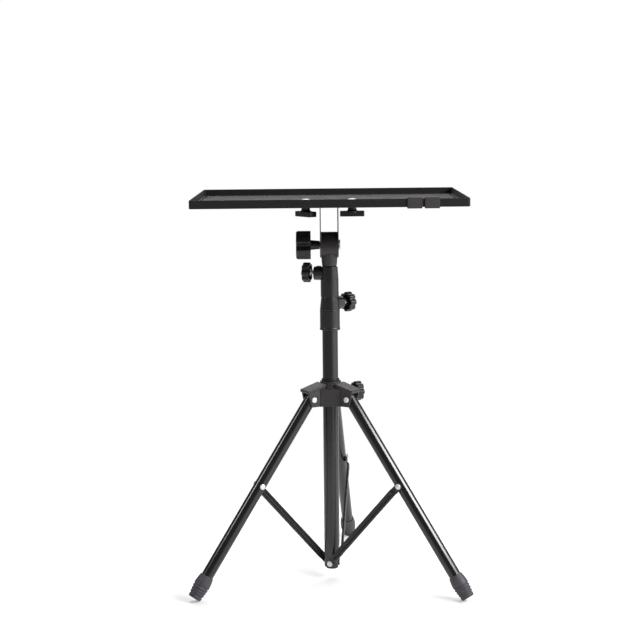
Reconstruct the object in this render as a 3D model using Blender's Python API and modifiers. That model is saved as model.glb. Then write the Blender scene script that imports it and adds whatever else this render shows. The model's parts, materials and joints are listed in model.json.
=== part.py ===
"""Tripod laptop stand: three braced legs, a telescoping mast, a tilting head and a rimmed tray.

Units are metres and degrees. +Z is up, the front of the tray faces -Y, and the origin lies
on the ground under the middle of the stand's own box. Heights in the mast's frame are counted
from the ground, and distances from the mast's axis are called reaches.
"""

import math

import bmesh
import bpy
from mathutils import Matrix, Vector

# Clearances
TOUCH_GAP = 0.0003
RIVET_PLAY = 0.0003
SLIDE_GAP = 0.0004

# Where the mast stands in the footprint's box
MAST_OFFSET_X = 0.0030
MAST_OFFSET_Y = -0.0450

# Legs, seen from the front: azimuth is counted from +X towards +Y
LEG_AZIMUTHS = {"left": 208.5, "right": 328.5, "rear": 82.5}
LEG_SPREAD = 35.4
LEG_LENGTH = 0.3308
LEG_RADIUS = 0.0083
LEG_WALL = 0.0011
LEG_TOP_OVERRUN = 0.0070
HINGE_REACH = 0.0335

# Boots on the legs' ends
BOOT_LENGTH = 0.0360
BOOT_MOUTH_RADIUS = 0.0096
BOOT_WAIST_RADIUS = 0.0118
BOOT_END_RADIUS = 0.0093
BOOT_WAIST_BELOW_MOUTH = 0.0150
BOOT_RIBS_BELOW_MOUTH = 0.0325
BOOT_FLOOR = 0.0045
BOOT_RIBS = 4
BOOT_RIB_DEPTH = 0.0006

# Struts between the legs and the foot of the main tube
STRUT_ON_LEG = 0.1460
STRUT_WIDTH = 0.0107
STRUT_PLATE = 0.0014
STRUT_BODY = 0.0030
STRUT_TAB = 0.0090
STRUT_JOGGLE = 0.0040
STRUT_GROOVE_WIDTH = 0.0024
STRUT_GROOVE_DEPTH = 0.0016
STRUT_BASE_HEIGHT = 0.0240
STRUT_BASE_REACH = 0.0025

# Rivets
RIVET_RADIUS = 0.0020
HINGE_RIVET_HEAD = 0.0037
STRUT_RIVET_HEAD = 0.0033
BASE_RIVET_HEAD = 0.0045
RIVET_HEAD_HEIGHT = 0.0017

# Mast tubes
MAIN_TUBE_RADIUS = 0.0110
MAIN_TUBE_WALL = 0.0011
MAIN_TUBE_FOOT = 0.0180
MAIN_TUBE_LENGTH = 0.3910
TUBE_FLAT_REACH = 0.0089
TUBE_FLAT_HEIGHT = 0.0200
TUBE_FLAT_RUNOUT = 0.0180
TUBE_FOOT_BORE = 0.0076
PLUG_LIP = 0.0020
PLUG_DEPTH = 0.0030
MID_TUBE_RADIUS = 0.0095
MID_TUBE_WALL = 0.0010
MID_TUBE_ABOVE_FLATS = 0.0373
POST_RADIUS = 0.0080
POST_WALL = 0.0012
POST_ABOVE_MID_CAP = 0.0245
POST_IN_HEAD = 0.0150
END_CAP_FLANGE = 0.0015
END_CAP_DEPTH = 0.0100

# Crown that the legs hinge on
CROWN_BELOW_HINGE = 0.0110
CROWN_ABOVE_HINGE = 0.0243
CROWN_RING_RADIUS = 0.0148
CROWN_RING_HEIGHT = 0.0035
CROWN_PANEL_REACH = 0.0220
CROWN_PANEL_ABOVE_HINGE = 0.0135
CROWN_BORE = 0.0121
CROWN_CHEEK = 0.0025
CROWN_CHEEK_PLAY = 0.0005
CROWN_SLOT_REACH = 0.0215
CROWN_ARM_FOOT_REACH = 0.0380
CROWN_ARM_SHOULDER_REACH = 0.0450
CROWN_ARM_SHOULDER_ABOVE_HINGE = 0.0080
CROWN_BAND_REACH = 0.0472
CROWN_BAND_DROP = 0.0088
CROWN_BAND_THICKNESS = 0.0048
CROWN_BAND_LIP = 0.0009
CROWN_BAND_EDGE = 0.0014
CROWN_CHEEK_EDGE = 0.0008
BUSH_LIP_RADIUS = 0.0125
BUSH_LIP_HEIGHT = 0.0028

# Collars that clamp the mast tubes
LOWER_COLLAR_HEIGHT = 0.0480
LOWER_COLLAR_SKIRT = 0.0340
LOWER_COLLAR_RADIUS = 0.0142
LOWER_COLLAR_TOP_RADIUS = 0.0121
LOWER_COLLAR_SEAM = 0.0293
UPPER_COLLAR_HEIGHT = 0.0445
UPPER_COLLAR_SKIRT = 0.0200
UPPER_COLLAR_RADIUS = 0.0127
UPPER_COLLAR_TOP_RADIUS = 0.0105
UPPER_COLLAR_SEAM = 0.0240
COLLAR_CHAMFER = 0.0009
MOULDED_EDGE = 0.0010
SEAM_DEPTH = 0.0004
SEAM_WIDTH = 0.0008

# Clamp knobs: azimuth, height of the screw and reach of the boss that it runs in
LOWER_CLAMP_AZIMUTH = 37.0
LOWER_CLAMP_ABOVE_COLLAR_FOOT = 0.0384
LOWER_BOSS_RADIUS = 0.0092
UPPER_CLAMP_AZIMUTH = 165.5
UPPER_CLAMP_ABOVE_COLLAR_FOOT = 0.0352
UPPER_BOSS_RADIUS = 0.0088
BOSS_REACH = 0.0219
CROWN_CLAMP_AZIMUTH = 25.5
CROWN_CLAMP_ABOVE_HINGE = 0.0050
CROWN_BOSS_RADIUS = 0.0075
CROWN_BOSS_REACH = 0.0300
SCREW_RADIUS = 0.0030
SCREW_SHOWN = 0.0067
CROWN_SCREW_SHOWN = 0.0090
KNOB_THICKNESS = 0.0105
KNOB_RADIUS = 0.0145
KNOB_LOBES = 8
KNOB_LOBE_DEPTH = 0.0020
KNOB_RIM = 0.0022
KNOB_HUB_RADIUS = 0.0052
KNOB_HOLLOW = 0.0060

# Tilting head
HEAD_PIVOT_ABOVE_FOOT = 0.0310
HEAD_BARREL_RADIUS = 0.0190
HEAD_HALF_WIDTH = 0.0114
HEAD_EDGE = 0.0006
NECK_RADIUS = 0.0099
NECK_DEPTH = 0.0150
NECK_RISE = 0.0190
TILT_BOLT_RADIUS = 0.0040
TILT_HEAD_ACROSS_CORNERS = 0.0150
TILT_HEAD_THICKNESS = 0.0028
TILT_KNOB_RADIUS = 0.0206
TILT_KNOB_WINGS = 6
TILT_KNOB_WING_DEPTH = 0.0060
TILT_KNOB_LENGTH = 0.0212
TILT_KNOB_EDGE = 0.0018
TILT_STEM_LENGTH = 0.0137
TILT_STEM_WIDE = 0.0072
TILT_STEM_NARROW = 0.0056
TILT_BOLT_IN_KNOB = 0.0100

# Bracket under the tray
EAR_THICKNESS = 0.0012
EAR_RADIUS = 0.0185
BRACKET_RISE = 0.0636
BRACKET_BASE = 0.0015
BRACKET_HALF_LENGTH = 0.0480
BRACKET_CORNER = 0.0060

# Tray
TRAY_WIDTH = 0.3810
TRAY_DEPTH = 0.2790
TRAY_BACK_SHIFT = -0.0030
TRAY_SHEET = 0.0012
TRAY_RIM = 0.0106
TRAY_CORNER = 0.0025
TRAY_SLOT_WIDTH = 0.0035
TRAY_SLOT_LENGTH = 0.0950
TRAY_SLOT_FROM_RIM = 0.0070
TRAY_SLOT_CENTRE = 0.0100

# Fasteners of the tray
TRAY_BOLT_SPACING = 0.0672
TRAY_BOLT_RADIUS = 0.0030
TRAY_BOLT_HEAD_RADIUS = 0.0070
TRAY_BOLT_HEAD_HEIGHT = 0.0018
T_KNOB_HUB_RADIUS = 0.0066
T_KNOB_FLARE = 0.0020
T_KNOB_HUB_LENGTH = 0.0128
T_KNOB_BAR_LENGTH = 0.0352
T_KNOB_BAR_WIDTH = 0.0140
T_KNOB_BAR_HEIGHT = 0.0078
T_KNOB_EDGE = 0.0012
T_KNOB_TURNS = {"left": -30.0, "right": 0.0}
T_KNOB_BOLT_DEPTH = 0.0165

# Clips on the front rim
CLIP_WIDTH = 0.0200
CLIP_WALL = 0.0015
CLIP_EDGE = 0.0003
CLIPS_FROM_END = {"inner": 0.0753, "outer": 0.0515}
CLIP_LIP = 0.0070
CLIP_HOOK = 0.0063

# Sides of the round pieces
TUBE_SIDES = 24
LEG_SIDES = 20
BOOT_SIDES = 20
RIVET_SIDES = 12
HOLE_SIDES = 12

# Heights that follow from the sizes above
SPREAD = math.radians(LEG_SPREAD)
HINGE_HEIGHT = LEG_LENGTH * math.cos(SPREAD) + BOOT_END_RADIUS * math.sin(SPREAD)
STRUT_TOP_REACH = HINGE_REACH + STRUT_ON_LEG * math.sin(SPREAD)
STRUT_TOP_HEIGHT = HINGE_HEIGHT - STRUT_ON_LEG * math.cos(SPREAD)
STRUT_RUN = STRUT_TOP_REACH - STRUT_BASE_REACH
STRUT_RISE = STRUT_TOP_HEIGHT - STRUT_BASE_HEIGHT
STRUT_LENGTH = math.hypot(STRUT_RUN, STRUT_RISE)
STRUT_LEAN = math.atan2(STRUT_RUN, STRUT_RISE)
STRUT_FACE = max(TUBE_FLAT_REACH, LEG_RADIUS) + TOUCH_GAP
STRUT_SET_OUT = MAIN_TUBE_RADIUS + TOUCH_GAP - STRUT_FACE
MAIN_TUBE_TOP = MAIN_TUBE_FOOT + MAIN_TUBE_LENGTH
LOWER_COLLAR_FOOT = MAIN_TUBE_TOP - LOWER_COLLAR_SKIRT
LOWER_COLLAR_TOP = LOWER_COLLAR_FOOT + LOWER_COLLAR_HEIGHT
UPPER_COLLAR_FOOT = LOWER_COLLAR_TOP + TOUCH_GAP
UPPER_COLLAR_TOP = UPPER_COLLAR_FOOT + UPPER_COLLAR_HEIGHT
MID_TUBE_TOP = UPPER_COLLAR_FOOT + UPPER_COLLAR_SKIRT
TUBE_FLAT_TOP = MAIN_TUBE_FOOT + TUBE_FLAT_HEIGHT + TUBE_FLAT_RUNOUT
MID_TUBE_FOOT = TUBE_FLAT_TOP + MID_TUBE_ABOVE_FLATS
HEAD_FOOT = UPPER_COLLAR_TOP + TOUCH_GAP
PIVOT_HEIGHT = HEAD_FOOT + HEAD_PIVOT_ABOVE_FOOT
POST_TOP = HEAD_FOOT + POST_IN_HEAD
POST_FOOT = MID_TUBE_FOOT + END_CAP_DEPTH + POST_ABOVE_MID_CAP
BRACKET_TOP = PIVOT_HEIGHT + BRACKET_RISE
TRAY_FOOT = BRACKET_TOP + TOUCH_GAP
TRAY_FLOOR = TRAY_FOOT + TRAY_SHEET
TRAY_TOP = TRAY_FOOT + TRAY_RIM
TRAY_FRONT = TRAY_BACK_SHIFT - TRAY_DEPTH / 2
CROWN_FOOT = HINGE_HEIGHT - CROWN_BELOW_HINGE
CROWN_TOP = HINGE_HEIGHT + CROWN_ABOVE_HINGE
CHEEK_INSIDE = LEG_RADIUS + CROWN_CHEEK_PLAY
CHEEK_OUTSIDE = CHEEK_INSIDE + CROWN_CHEEK
EAR_INSIDE = HEAD_HALF_WIDTH + TOUCH_GAP
EAR_OUTSIDE = EAR_INSIDE + EAR_THICKNESS
KNOB_REACH = BOSS_REACH + SCREW_SHOWN
CROWN_KNOB_REACH = CROWN_BOSS_REACH + CROWN_SCREW_SHOWN


def clear_scene():
    """Remove what the file held before."""
    for obj in list(bpy.data.objects):
        bpy.data.objects.remove(obj, do_unlink=True)
    for collection in list(bpy.data.collections):
        bpy.data.collections.remove(collection)


clear_scene()
stand = bpy.data.collections.new("tripod_laptop_stand")
cutters = bpy.data.collections.new("cutters")
bpy.context.scene.collection.children.link(stand)
bpy.context.scene.collection.children.link(cutters)
frame_places = {}


def linear(channel):
    """One sRGB channel, 0 to 255, as the linear value that a shader takes."""
    value = channel / 255
    return value / 12.92 if value <= 0.04045 else ((value + 0.055) / 1.055) ** 2.4


def finish(name, rgb, roughness, metallic):
    """A Principled material in one colour."""
    material = bpy.data.materials.new(name)
    material.use_nodes = True
    shader = material.node_tree.nodes["Principled BSDF"]
    colour = [linear(channel) for channel in rgb] + [1.0]
    shader.inputs["Base Color"].default_value = colour
    shader.inputs["Roughness"].default_value = roughness
    shader.inputs["Metallic"].default_value = metallic
    material.diffuse_color = colour
    return material


def black_paint(name):
    return finish(name, (42, 38, 38), 0.38, 0.0)


def black_plastic(name):
    return finish(name, (44, 42, 42), 0.55, 0.0)


def grey_rubber(name):
    return finish(name, (82, 80, 87), 0.80, 0.0)


def bright_steel(name):
    return finish(name, (205, 203, 200), 0.28, 1.0)


def polar(azimuth, reach, height=0.0):
    """A point by its direction from the mast, its distance from the axis and its height."""
    angle = math.radians(azimuth)
    return Vector((reach * math.cos(angle), reach * math.sin(angle), height))


def frame(name, at, parent=None, azimuth=0.0):
    """An empty that carries the pieces of one moving body, set on its joint's axis."""
    empty = bpy.data.objects.new(name, None)
    empty.empty_display_size = 0.02
    stand.objects.link(empty)
    frame_places[name] = Vector(at)
    empty.parent = parent
    empty.location = Vector(at) - (frame_places[parent.name] if parent else Vector())
    empty.rotation_euler.z = math.radians(azimuth)
    return empty


def put(obj, carrier, at=(0.0, 0.0, 0.0), turn=(0.0, 0.0, 0.0), from_ground=True):
    """Parent a piece to its frame; from_ground gives the place in the mast's own frame."""
    obj.parent = carrier
    place = Vector(at)
    obj.location = place - frame_places[carrier.name] if from_ground else place
    obj.rotation_euler = [math.radians(angle) for angle in turn]
    return obj


def as_cutter(obj):
    """Move a shape among the cutters, which are not pieces of the stand."""
    for collection in list(obj.users_collection):
        collection.objects.unlink(obj)
    cutters.objects.link(obj)
    obj.hide_render = True
    obj.display_type = 'WIRE'
    return obj


def add_mesh(name, mesh, material=None):
    """Link a mesh as a piece; without a material it becomes a cutter."""
    obj = bpy.data.objects.new(name, mesh)
    stand.objects.link(obj)
    if material is None:
        return as_cutter(obj)
    mesh.materials.append(material)
    return obj


def turned(name, profile, material=None, sides=TUBE_SIDES, ring=False):
    """A turned shape from (radius, height) points that run down the outer side."""
    mesh = bpy.data.meshes.new(name)
    points = [(radius, 0.0, height) for radius, height in profile]
    edges = [(i, i + 1) for i in range(len(points) - 1)]
    if ring:
        edges.append((len(points) - 1, 0))
    mesh.from_pydata(points, edges, [])
    obj = add_mesh(name, mesh, material)
    screw = obj.modifiers.new("turn", 'SCREW')
    screw.axis = 'Z'
    screw.steps = sides
    screw.render_steps = sides
    screw.use_merge_vertices = True
    screw.merge_threshold = 0.00002
    screw.use_smooth_shade = True
    return obj


def tube_profile(outer, inner, foot, top):
    return [(outer, top), (outer, foot), (inner, foot), (inner, top)]


def rod_profile(radius, foot, top):
    return [(0.0, top), (radius, top), (radius, foot), (0.0, foot)]


def pin_way(name, pin_radius, foot, top):
    """The cutter of a hole that a pin, bolt or screw passes with play."""
    return turned(name, rod_profile(pin_radius + RIVET_PLAY, foot, top), sides=HOLE_SIDES)


def flat_solid(name, points, thickness, material=None):
    """A flat outline in its own XY plane, half its thickness to each side."""
    curve = bpy.data.curves.new(name + "_outline", 'CURVE')
    curve.dimensions = '2D'
    curve.fill_mode = 'BOTH'
    curve.extrude = thickness / 2
    spline = curve.splines.new('POLY')
    spline.points.add(len(points) - 1)
    for point, (x, y) in zip(spline.points, points):
        point.co = (x, y, 0.0, 1.0)
    spline.use_cyclic_u = True
    guide = bpy.data.objects.new(name + "_outline", curve)
    stand.objects.link(guide)
    evaluated = guide.evaluated_get(bpy.context.evaluated_depsgraph_get())
    mesh = bpy.data.meshes.new_from_object(evaluated)
    mesh.name = name
    shape = bmesh.new()
    shape.from_mesh(mesh)
    bmesh.ops.remove_doubles(shape, verts=shape.verts, dist=0.000005)
    bmesh.ops.dissolve_limit(shape, angle_limit=math.radians(0.5), verts=shape.verts, edges=shape.edges)
    shape.to_mesh(mesh)
    shape.free()
    mesh.materials.clear()
    bpy.data.objects.remove(guide, do_unlink=True)
    return add_mesh(name, mesh, material)


def block(name, size, material=None, centre=(0.0, 0.0, 0.0)):
    """A box by its size and its middle."""
    mesh = bpy.data.meshes.new(name)
    shape = bmesh.new()
    bmesh.ops.create_cube(shape, size=1.0)
    for vert in shape.verts:
        vert.co = Vector(c * s for c, s in zip(vert.co, size)) + Vector(centre)
    shape.to_mesh(mesh)
    shape.free()
    return add_mesh(name, mesh, material)


def bevel(obj, width, segments=2, angle=40.0):
    """Round the edges that are sharper than the angle."""
    modifier = obj.modifiers.new("round", 'BEVEL')
    modifier.width = width
    modifier.segments = segments
    modifier.limit_method = 'ANGLE'
    modifier.angle_limit = math.radians(angle)
    return obj


def combine(obj, other, operation):
    modifier = obj.modifiers.new(operation.lower(), 'BOOLEAN')
    modifier.operation = operation
    modifier.solver = 'EXACT'
    modifier.object = other
    return obj


def cut(obj, *tools):
    for tool in tools:
        combine(obj, tool, 'DIFFERENCE')
    return obj


def join(obj, *tools):
    for tool in tools:
        combine(obj, tool, 'UNION')
    return obj


def arc(centre, radius, start, end, count):
    """Points on an arc, angles in degrees."""
    step = (end - start) / (count - 1)
    angles = [math.radians(start + step * i) for i in range(count)]
    return [(centre[0] + radius * math.cos(a), centre[1] + radius * math.sin(a)) for a in angles]


def lobed_outline(radius, depth, lobes, points_per_lobe=5):
    """A round outline whose radius waves between radius and radius - depth."""
    count = lobes * points_per_lobe
    outline = []
    for i in range(count):
        angle = 2 * math.pi * i / count
        reach = radius - depth / 2 * (1 - math.cos(lobes * angle))
        outline.append((reach * math.cos(angle), reach * math.sin(angle)))
    return outline


def dome_profile(radius, foot, height, steps=2):
    """The outer line of a low dome, from its top down to its rim."""
    points = []
    for i in range(steps + 1):
        angle = math.pi / 2 * (1 - i / steps)
        points.append((radius * math.cos(angle), foot + height * math.sin(angle)))
    points[0] = (0.0, foot + height)
    return points


# Foot of the mast

def flat_cutter(name, azimuth):
    """The cutter that presses one flat on the tube's foot, with a slanted run-out above."""
    top = MAIN_TUBE_FOOT + TUBE_FLAT_HEIGHT
    beyond = MAIN_TUBE_RADIUS * 2
    outline = [
        (TUBE_FLAT_REACH, MAIN_TUBE_FOOT - TUBE_FLAT_RUNOUT),
        (beyond, MAIN_TUBE_FOOT - TUBE_FLAT_RUNOUT),
        (beyond, top + TUBE_FLAT_RUNOUT),
        (MAIN_TUBE_RADIUS + TOUCH_GAP, top + TUBE_FLAT_RUNOUT),
        (TUBE_FLAT_REACH, top),
    ]
    tool = flat_solid(name, outline, beyond * 2)
    return put(tool, root, turn=(90.0, 0.0, azimuth))


def build_main_tube():
    inner = MAIN_TUBE_RADIUS - MAIN_TUBE_WALL
    profile = [
        (MAIN_TUBE_RADIUS, MAIN_TUBE_TOP),
        (MAIN_TUBE_RADIUS, MAIN_TUBE_FOOT + MAIN_TUBE_WALL),
        (MAIN_TUBE_RADIUS - MAIN_TUBE_WALL, MAIN_TUBE_FOOT),
        (TUBE_FOOT_BORE, MAIN_TUBE_FOOT),
        (TUBE_FOOT_BORE, TUBE_FLAT_TOP),
        (inner, TUBE_FLAT_TOP + MAIN_TUBE_WALL * 2),
        (inner, MAIN_TUBE_TOP),
    ]
    tube = put(turned("main_tube", profile, black_paint("main_tube"), ring=True), root)
    for side, azimuth in LEG_AZIMUTHS.items():
        cut(tube, flat_cutter("tube_flat_" + side, azimuth - 90.0))
    for side, azimuth in LEG_AZIMUTHS.items():
        hole = pin_way("tube_hole_" + side, RIVET_RADIUS, TUBE_FOOT_BORE / 2, MAIN_TUBE_RADIUS * 2)
        pin = polar(azimuth, STRUT_BASE_REACH, STRUT_BASE_HEIGHT)
        put(hole, root, at=pin, turn=(0.0, 90.0, azimuth - 90.0))
        cut(tube, hole)
    return tube


def build_tube_plug():
    """The plastic plug that closes the tube's foot."""
    spigot = TUBE_FOOT_BORE - TOUCH_GAP
    foot = MAIN_TUBE_FOOT - TOUCH_GAP
    profile = [
        (0.0, foot + PLUG_DEPTH),
        (spigot, foot + PLUG_DEPTH),
        (spigot, foot),
        (TUBE_FLAT_REACH, foot),
        (TUBE_FLAT_REACH, foot - PLUG_LIP / 2),
        (TUBE_FLAT_REACH - PLUG_LIP / 2, foot - PLUG_LIP),
        (0.0, foot - PLUG_LIP),
    ]
    return put(turned("tube_plug", profile, black_plastic("tube_plug"), sides=LEG_SIDES), root)


# Crown

def panel_azimuths():
    """The flats of the hub face midway between neighbouring arms."""
    arms = sorted(LEG_AZIMUTHS.values())
    following = arms[1:] + [arms[0] + 360.0]
    return [(first + second) / 2 for first, second in zip(arms, following)]


def line_crossing(azimuth_a, reach_a, azimuth_b, reach_b):
    """Where two lines cross, each given by its normal's azimuth and its distance."""
    a, b = math.radians(azimuth_a), math.radians(azimuth_b)
    scale = math.sin(b - a)
    x = (reach_a * math.sin(b) - reach_b * math.sin(a)) / scale
    y = (reach_b * math.cos(a) - reach_a * math.cos(b)) / scale
    return x, y


def hub_outline():
    """Three flats, each ending inside the cheeks of the arms beside it."""
    arms = sorted(LEG_AZIMUTHS.values())
    corner = (CHEEK_INSIDE + CHEEK_OUTSIDE) / 2
    points = []
    for arm, panel in zip(arms, panel_azimuths()):
        points.append(line_crossing(arm + 90.0, corner, panel, CROWN_PANEL_REACH))
        following = panel + (panel - arm)
        points.append(line_crossing(panel, CROWN_PANEL_REACH, following - 90.0, corner))
    return points


def band_height(reach):
    """Top of an arm, which slopes down from the ring to the tip."""
    slope = CROWN_BAND_DROP / (CROWN_BAND_REACH - CROWN_RING_RADIUS)
    return CROWN_TOP - TOUCH_GAP - slope * (reach - CROWN_RING_RADIUS)


def arm_tools(side, azimuth):
    """The cheeks and the roof of one arm, and the cutters of its slot and its pin hole."""
    inner = CROWN_BORE + CROWN_CHEEK
    slot_roof = CROWN_BAND_THICKNESS + TOUCH_GAP
    cheek_foot = CROWN_FOOT + TOUCH_GAP
    cheek_roof = CROWN_BAND_THICKNESS / 2
    cheek_outline = [
        (inner, cheek_foot),
        (CROWN_ARM_FOOT_REACH, cheek_foot),
        (CROWN_ARM_SHOULDER_REACH, HINGE_HEIGHT + CROWN_ARM_SHOULDER_ABOVE_HINGE),
        (CROWN_ARM_SHOULDER_REACH, band_height(CROWN_ARM_SHOULDER_REACH) - cheek_roof),
        (inner, band_height(inner) - cheek_roof),
    ]
    cheeks = flat_solid("crown_cheeks_" + side, cheek_outline, CHEEK_OUTSIDE * 2)
    bevel(cheeks, CROWN_CHEEK_EDGE, segments=1)
    roof_inner = CROWN_BORE + CROWN_CHEEK / 2
    roof_outline = [
        (roof_inner, band_height(roof_inner) - CROWN_BAND_THICKNESS),
        (CROWN_BAND_REACH, band_height(CROWN_BAND_REACH) - CROWN_BAND_THICKNESS),
        (CROWN_BAND_REACH, band_height(CROWN_BAND_REACH)),
        (roof_inner, band_height(roof_inner)),
    ]
    roof_width = (CHEEK_OUTSIDE + CROWN_BAND_LIP) * 2
    roof = bevel(flat_solid("crown_roof_" + side, roof_outline, roof_width), CROWN_BAND_EDGE)
    slot_outline = [
        (CROWN_SLOT_REACH, CROWN_FOOT - CROWN_CHEEK),
        (CROWN_BAND_REACH * 2, CROWN_FOOT - CROWN_CHEEK),
        (CROWN_BAND_REACH * 2, band_height(CROWN_BAND_REACH * 2) - slot_roof),
        (CROWN_SLOT_REACH, band_height(CROWN_SLOT_REACH) - slot_roof),
    ]
    slot = flat_solid("crown_slot_" + side, slot_outline, CHEEK_INSIDE * 2)
    for tool in (cheeks, roof, slot):
        put(tool, crown_frame, turn=(90.0, 0.0, azimuth))
    hole = pin_way("crown_pin_hole_" + side, RIVET_RADIUS, -CHEEK_OUTSIDE * 2, CHEEK_OUTSIDE * 2)
    put(hole, crown_frame, at=polar(azimuth, HINGE_REACH, HINGE_HEIGHT), turn=(90.0, 0.0, azimuth))
    return cheeks, roof, slot, hole


def build_crown():
    """The hub with its three forked arms, its top ring and the boss of its clamp."""
    hub_top = HINGE_HEIGHT + CROWN_PANEL_ABOVE_HINGE
    crown = flat_solid("crown", hub_outline(), hub_top - CROWN_FOOT, black_plastic("crown"))
    put(crown, crown_frame, at=(0.0, 0.0, (hub_top + CROWN_FOOT) / 2))
    bevel(crown, MOULDED_EDGE, segments=1)
    ring_foot = CROWN_TOP - CROWN_RING_HEIGHT
    shoulder = turned("crown_shoulder", [
        (0.0, CROWN_TOP),
        (CROWN_RING_RADIUS - COLLAR_CHAMFER, CROWN_TOP),
        (CROWN_RING_RADIUS, CROWN_TOP - COLLAR_CHAMFER),
        (CROWN_RING_RADIUS, ring_foot),
        (CROWN_PANEL_REACH - CROWN_CHEEK / 2, hub_top - COLLAR_CHAMFER),
        (0.0, hub_top - CROWN_CHEEK),
    ])
    put(shoulder, crown_frame)
    boss_height = HINGE_HEIGHT + CROWN_CLAMP_ABOVE_HINGE
    boss_profile = rod_profile(CROWN_BOSS_RADIUS, CROWN_RING_RADIUS, CROWN_BOSS_REACH)
    boss = turned("crown_boss", boss_profile, sides=LEG_SIDES)
    put(boss, crown_frame, at=(0.0, 0.0, boss_height), turn=(0.0, 90.0, CROWN_CLAMP_AZIMUTH))
    join(crown, shoulder, boss)
    tools = {side: arm_tools(side, azimuth) for side, azimuth in LEG_AZIMUTHS.items()}
    for cheeks, roof, slot, hole in tools.values():
        join(crown, cheeks, roof)
    for cheeks, roof, slot, hole in tools.values():
        cut(crown, slot, hole)
    bore = turned("crown_bore", rod_profile(CROWN_BORE, CROWN_FOOT - CROWN_CHEEK, CROWN_TOP + CROWN_CHEEK))
    put(bore, crown_frame)
    screw_way = pin_way("crown_screw_way", SCREW_RADIUS, 0.0, CROWN_BOSS_REACH * 2)
    put(screw_way, crown_frame, at=(0.0, 0.0, boss_height), turn=(0.0, 90.0, CROWN_CLAMP_AZIMUTH))
    return cut(crown, bore, screw_way)


def build_crown_bush():
    """The thin sleeve that the crown slides on, with a lip above the ring."""
    outer = CROWN_BORE - TOUCH_GAP
    inner = MAIN_TUBE_RADIUS + SLIDE_GAP
    lip_foot = CROWN_TOP + TOUCH_GAP
    lip_top = lip_foot + BUSH_LIP_HEIGHT
    boss_height = HINGE_HEIGHT + CROWN_CLAMP_ABOVE_HINGE
    profile = [
        (BUSH_LIP_RADIUS - COLLAR_CHAMFER / 2, lip_top),
        (BUSH_LIP_RADIUS, lip_top - COLLAR_CHAMFER),
        (BUSH_LIP_RADIUS, lip_foot),
        (outer, lip_foot),
        (outer, CROWN_FOOT),
        (inner, CROWN_FOOT),
        (inner, lip_top),
    ]
    bush = turned("crown_bush", profile, black_plastic("crown_bush"), sides=LEG_SIDES, ring=True)
    put(bush, crown_frame)
    window = pin_way("bush_window", SCREW_RADIUS, 0.0, CROWN_BOSS_REACH)
    put(window, crown_frame, at=(0.0, 0.0, boss_height), turn=(0.0, 90.0, CROWN_CLAMP_AZIMUTH))
    return cut(bush, window)


# Legs, boots and struts

def build_leg(side, carrier):
    """A round leg along its own -Z, with the pin hole at its origin."""
    leg_foot = -(LEG_LENGTH - BOOT_FLOOR - TOUCH_GAP)
    profile = tube_profile(LEG_RADIUS, LEG_RADIUS - LEG_WALL, leg_foot, LEG_TOP_OVERRUN)
    leg = turned("leg_" + side, profile, black_paint("leg_" + side), sides=LEG_SIDES, ring=True)
    put(leg, carrier, turn=(0.0, -LEG_SPREAD, 0.0), from_ground=False)
    hole = pin_way("leg_pin_hole_" + side, RIVET_RADIUS, -LEG_RADIUS * 2, LEG_RADIUS * 2)
    put(hole, carrier, turn=(90.0, 0.0, 0.0), from_ground=False)
    way = pin_way("leg_rivet_hole_" + side, RIVET_RADIUS, -LEG_RADIUS * 2, LEG_RADIUS * 2)
    put(way, carrier, at=strut_pin_on_leg(), turn=(90.0, 0.0, 0.0), from_ground=False)
    return cut(leg, hole, way)


def strut_pin_on_leg():
    """Where the strut is held, seen from the leg's hinge."""
    return (STRUT_ON_LEG * math.sin(SPREAD), 0.0, -STRUT_ON_LEG * math.cos(SPREAD))


def build_leg_rivet(side, carrier):
    """The leg's own rivet, its head on the side away from the strut."""
    pin = rivet("leg_rivet_" + side, RIVET_RADIUS, STRUT_RIVET_HEAD, LEG_RADIUS + TOUCH_GAP, -LEG_RADIUS)
    return put(pin, carrier, at=strut_pin_on_leg(), turn=(-90.0, 0.0, 0.0), from_ground=False)


def boot_radius(below_mouth):
    """The boot swells from its mouth to its waist and draws in again to its end."""
    if below_mouth < BOOT_WAIST_BELOW_MOUTH:
        rise = math.sin(math.pi / 2 * below_mouth / BOOT_WAIST_BELOW_MOUTH)
        return BOOT_MOUTH_RADIUS + (BOOT_WAIST_RADIUS - BOOT_MOUTH_RADIUS) * rise
    past_waist = (below_mouth - BOOT_WAIST_BELOW_MOUTH) / (BOOT_LENGTH - BOOT_WAIST_BELOW_MOUTH)
    fall = 1 - math.cos(math.pi / 2 * past_waist)
    return BOOT_WAIST_RADIUS - (BOOT_WAIST_RADIUS - BOOT_END_RADIUS) * fall


def boot_profile():
    """A sleeve with ribs on its lower half and a closed end, bored for the leg."""
    mouth = -(LEG_LENGTH - BOOT_LENGTH)
    end = -LEG_LENGTH
    bore = LEG_RADIUS + TOUCH_GAP
    steps = 3
    points = [(0.0, end + BOOT_FLOOR), (bore, end + BOOT_FLOOR), (bore, mouth)]
    for step in range(steps + 1):
        depth = BOOT_WAIST_BELOW_MOUTH * step / steps
        points.append((boot_radius(depth), mouth - depth))
    pitch = (BOOT_RIBS_BELOW_MOUTH - BOOT_WAIST_BELOW_MOUTH) / BOOT_RIBS
    for rib in range(BOOT_RIBS):
        groove = BOOT_WAIST_BELOW_MOUTH + pitch * (rib + 0.5)
        crest = groove + pitch / 2
        points.append((boot_radius(groove) - BOOT_RIB_DEPTH, mouth - groove))
        points.append((boot_radius(crest), mouth - crest))
    return points + [(BOOT_END_RADIUS, end), (0.0, end)]


def build_boot(side, carrier):
    boot = turned("boot_" + side, boot_profile(), grey_rubber("boot_" + side), sides=BOOT_SIDES)
    return put(boot, carrier, turn=(0.0, -LEG_SPREAD, 0.0), from_ground=False)


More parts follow.
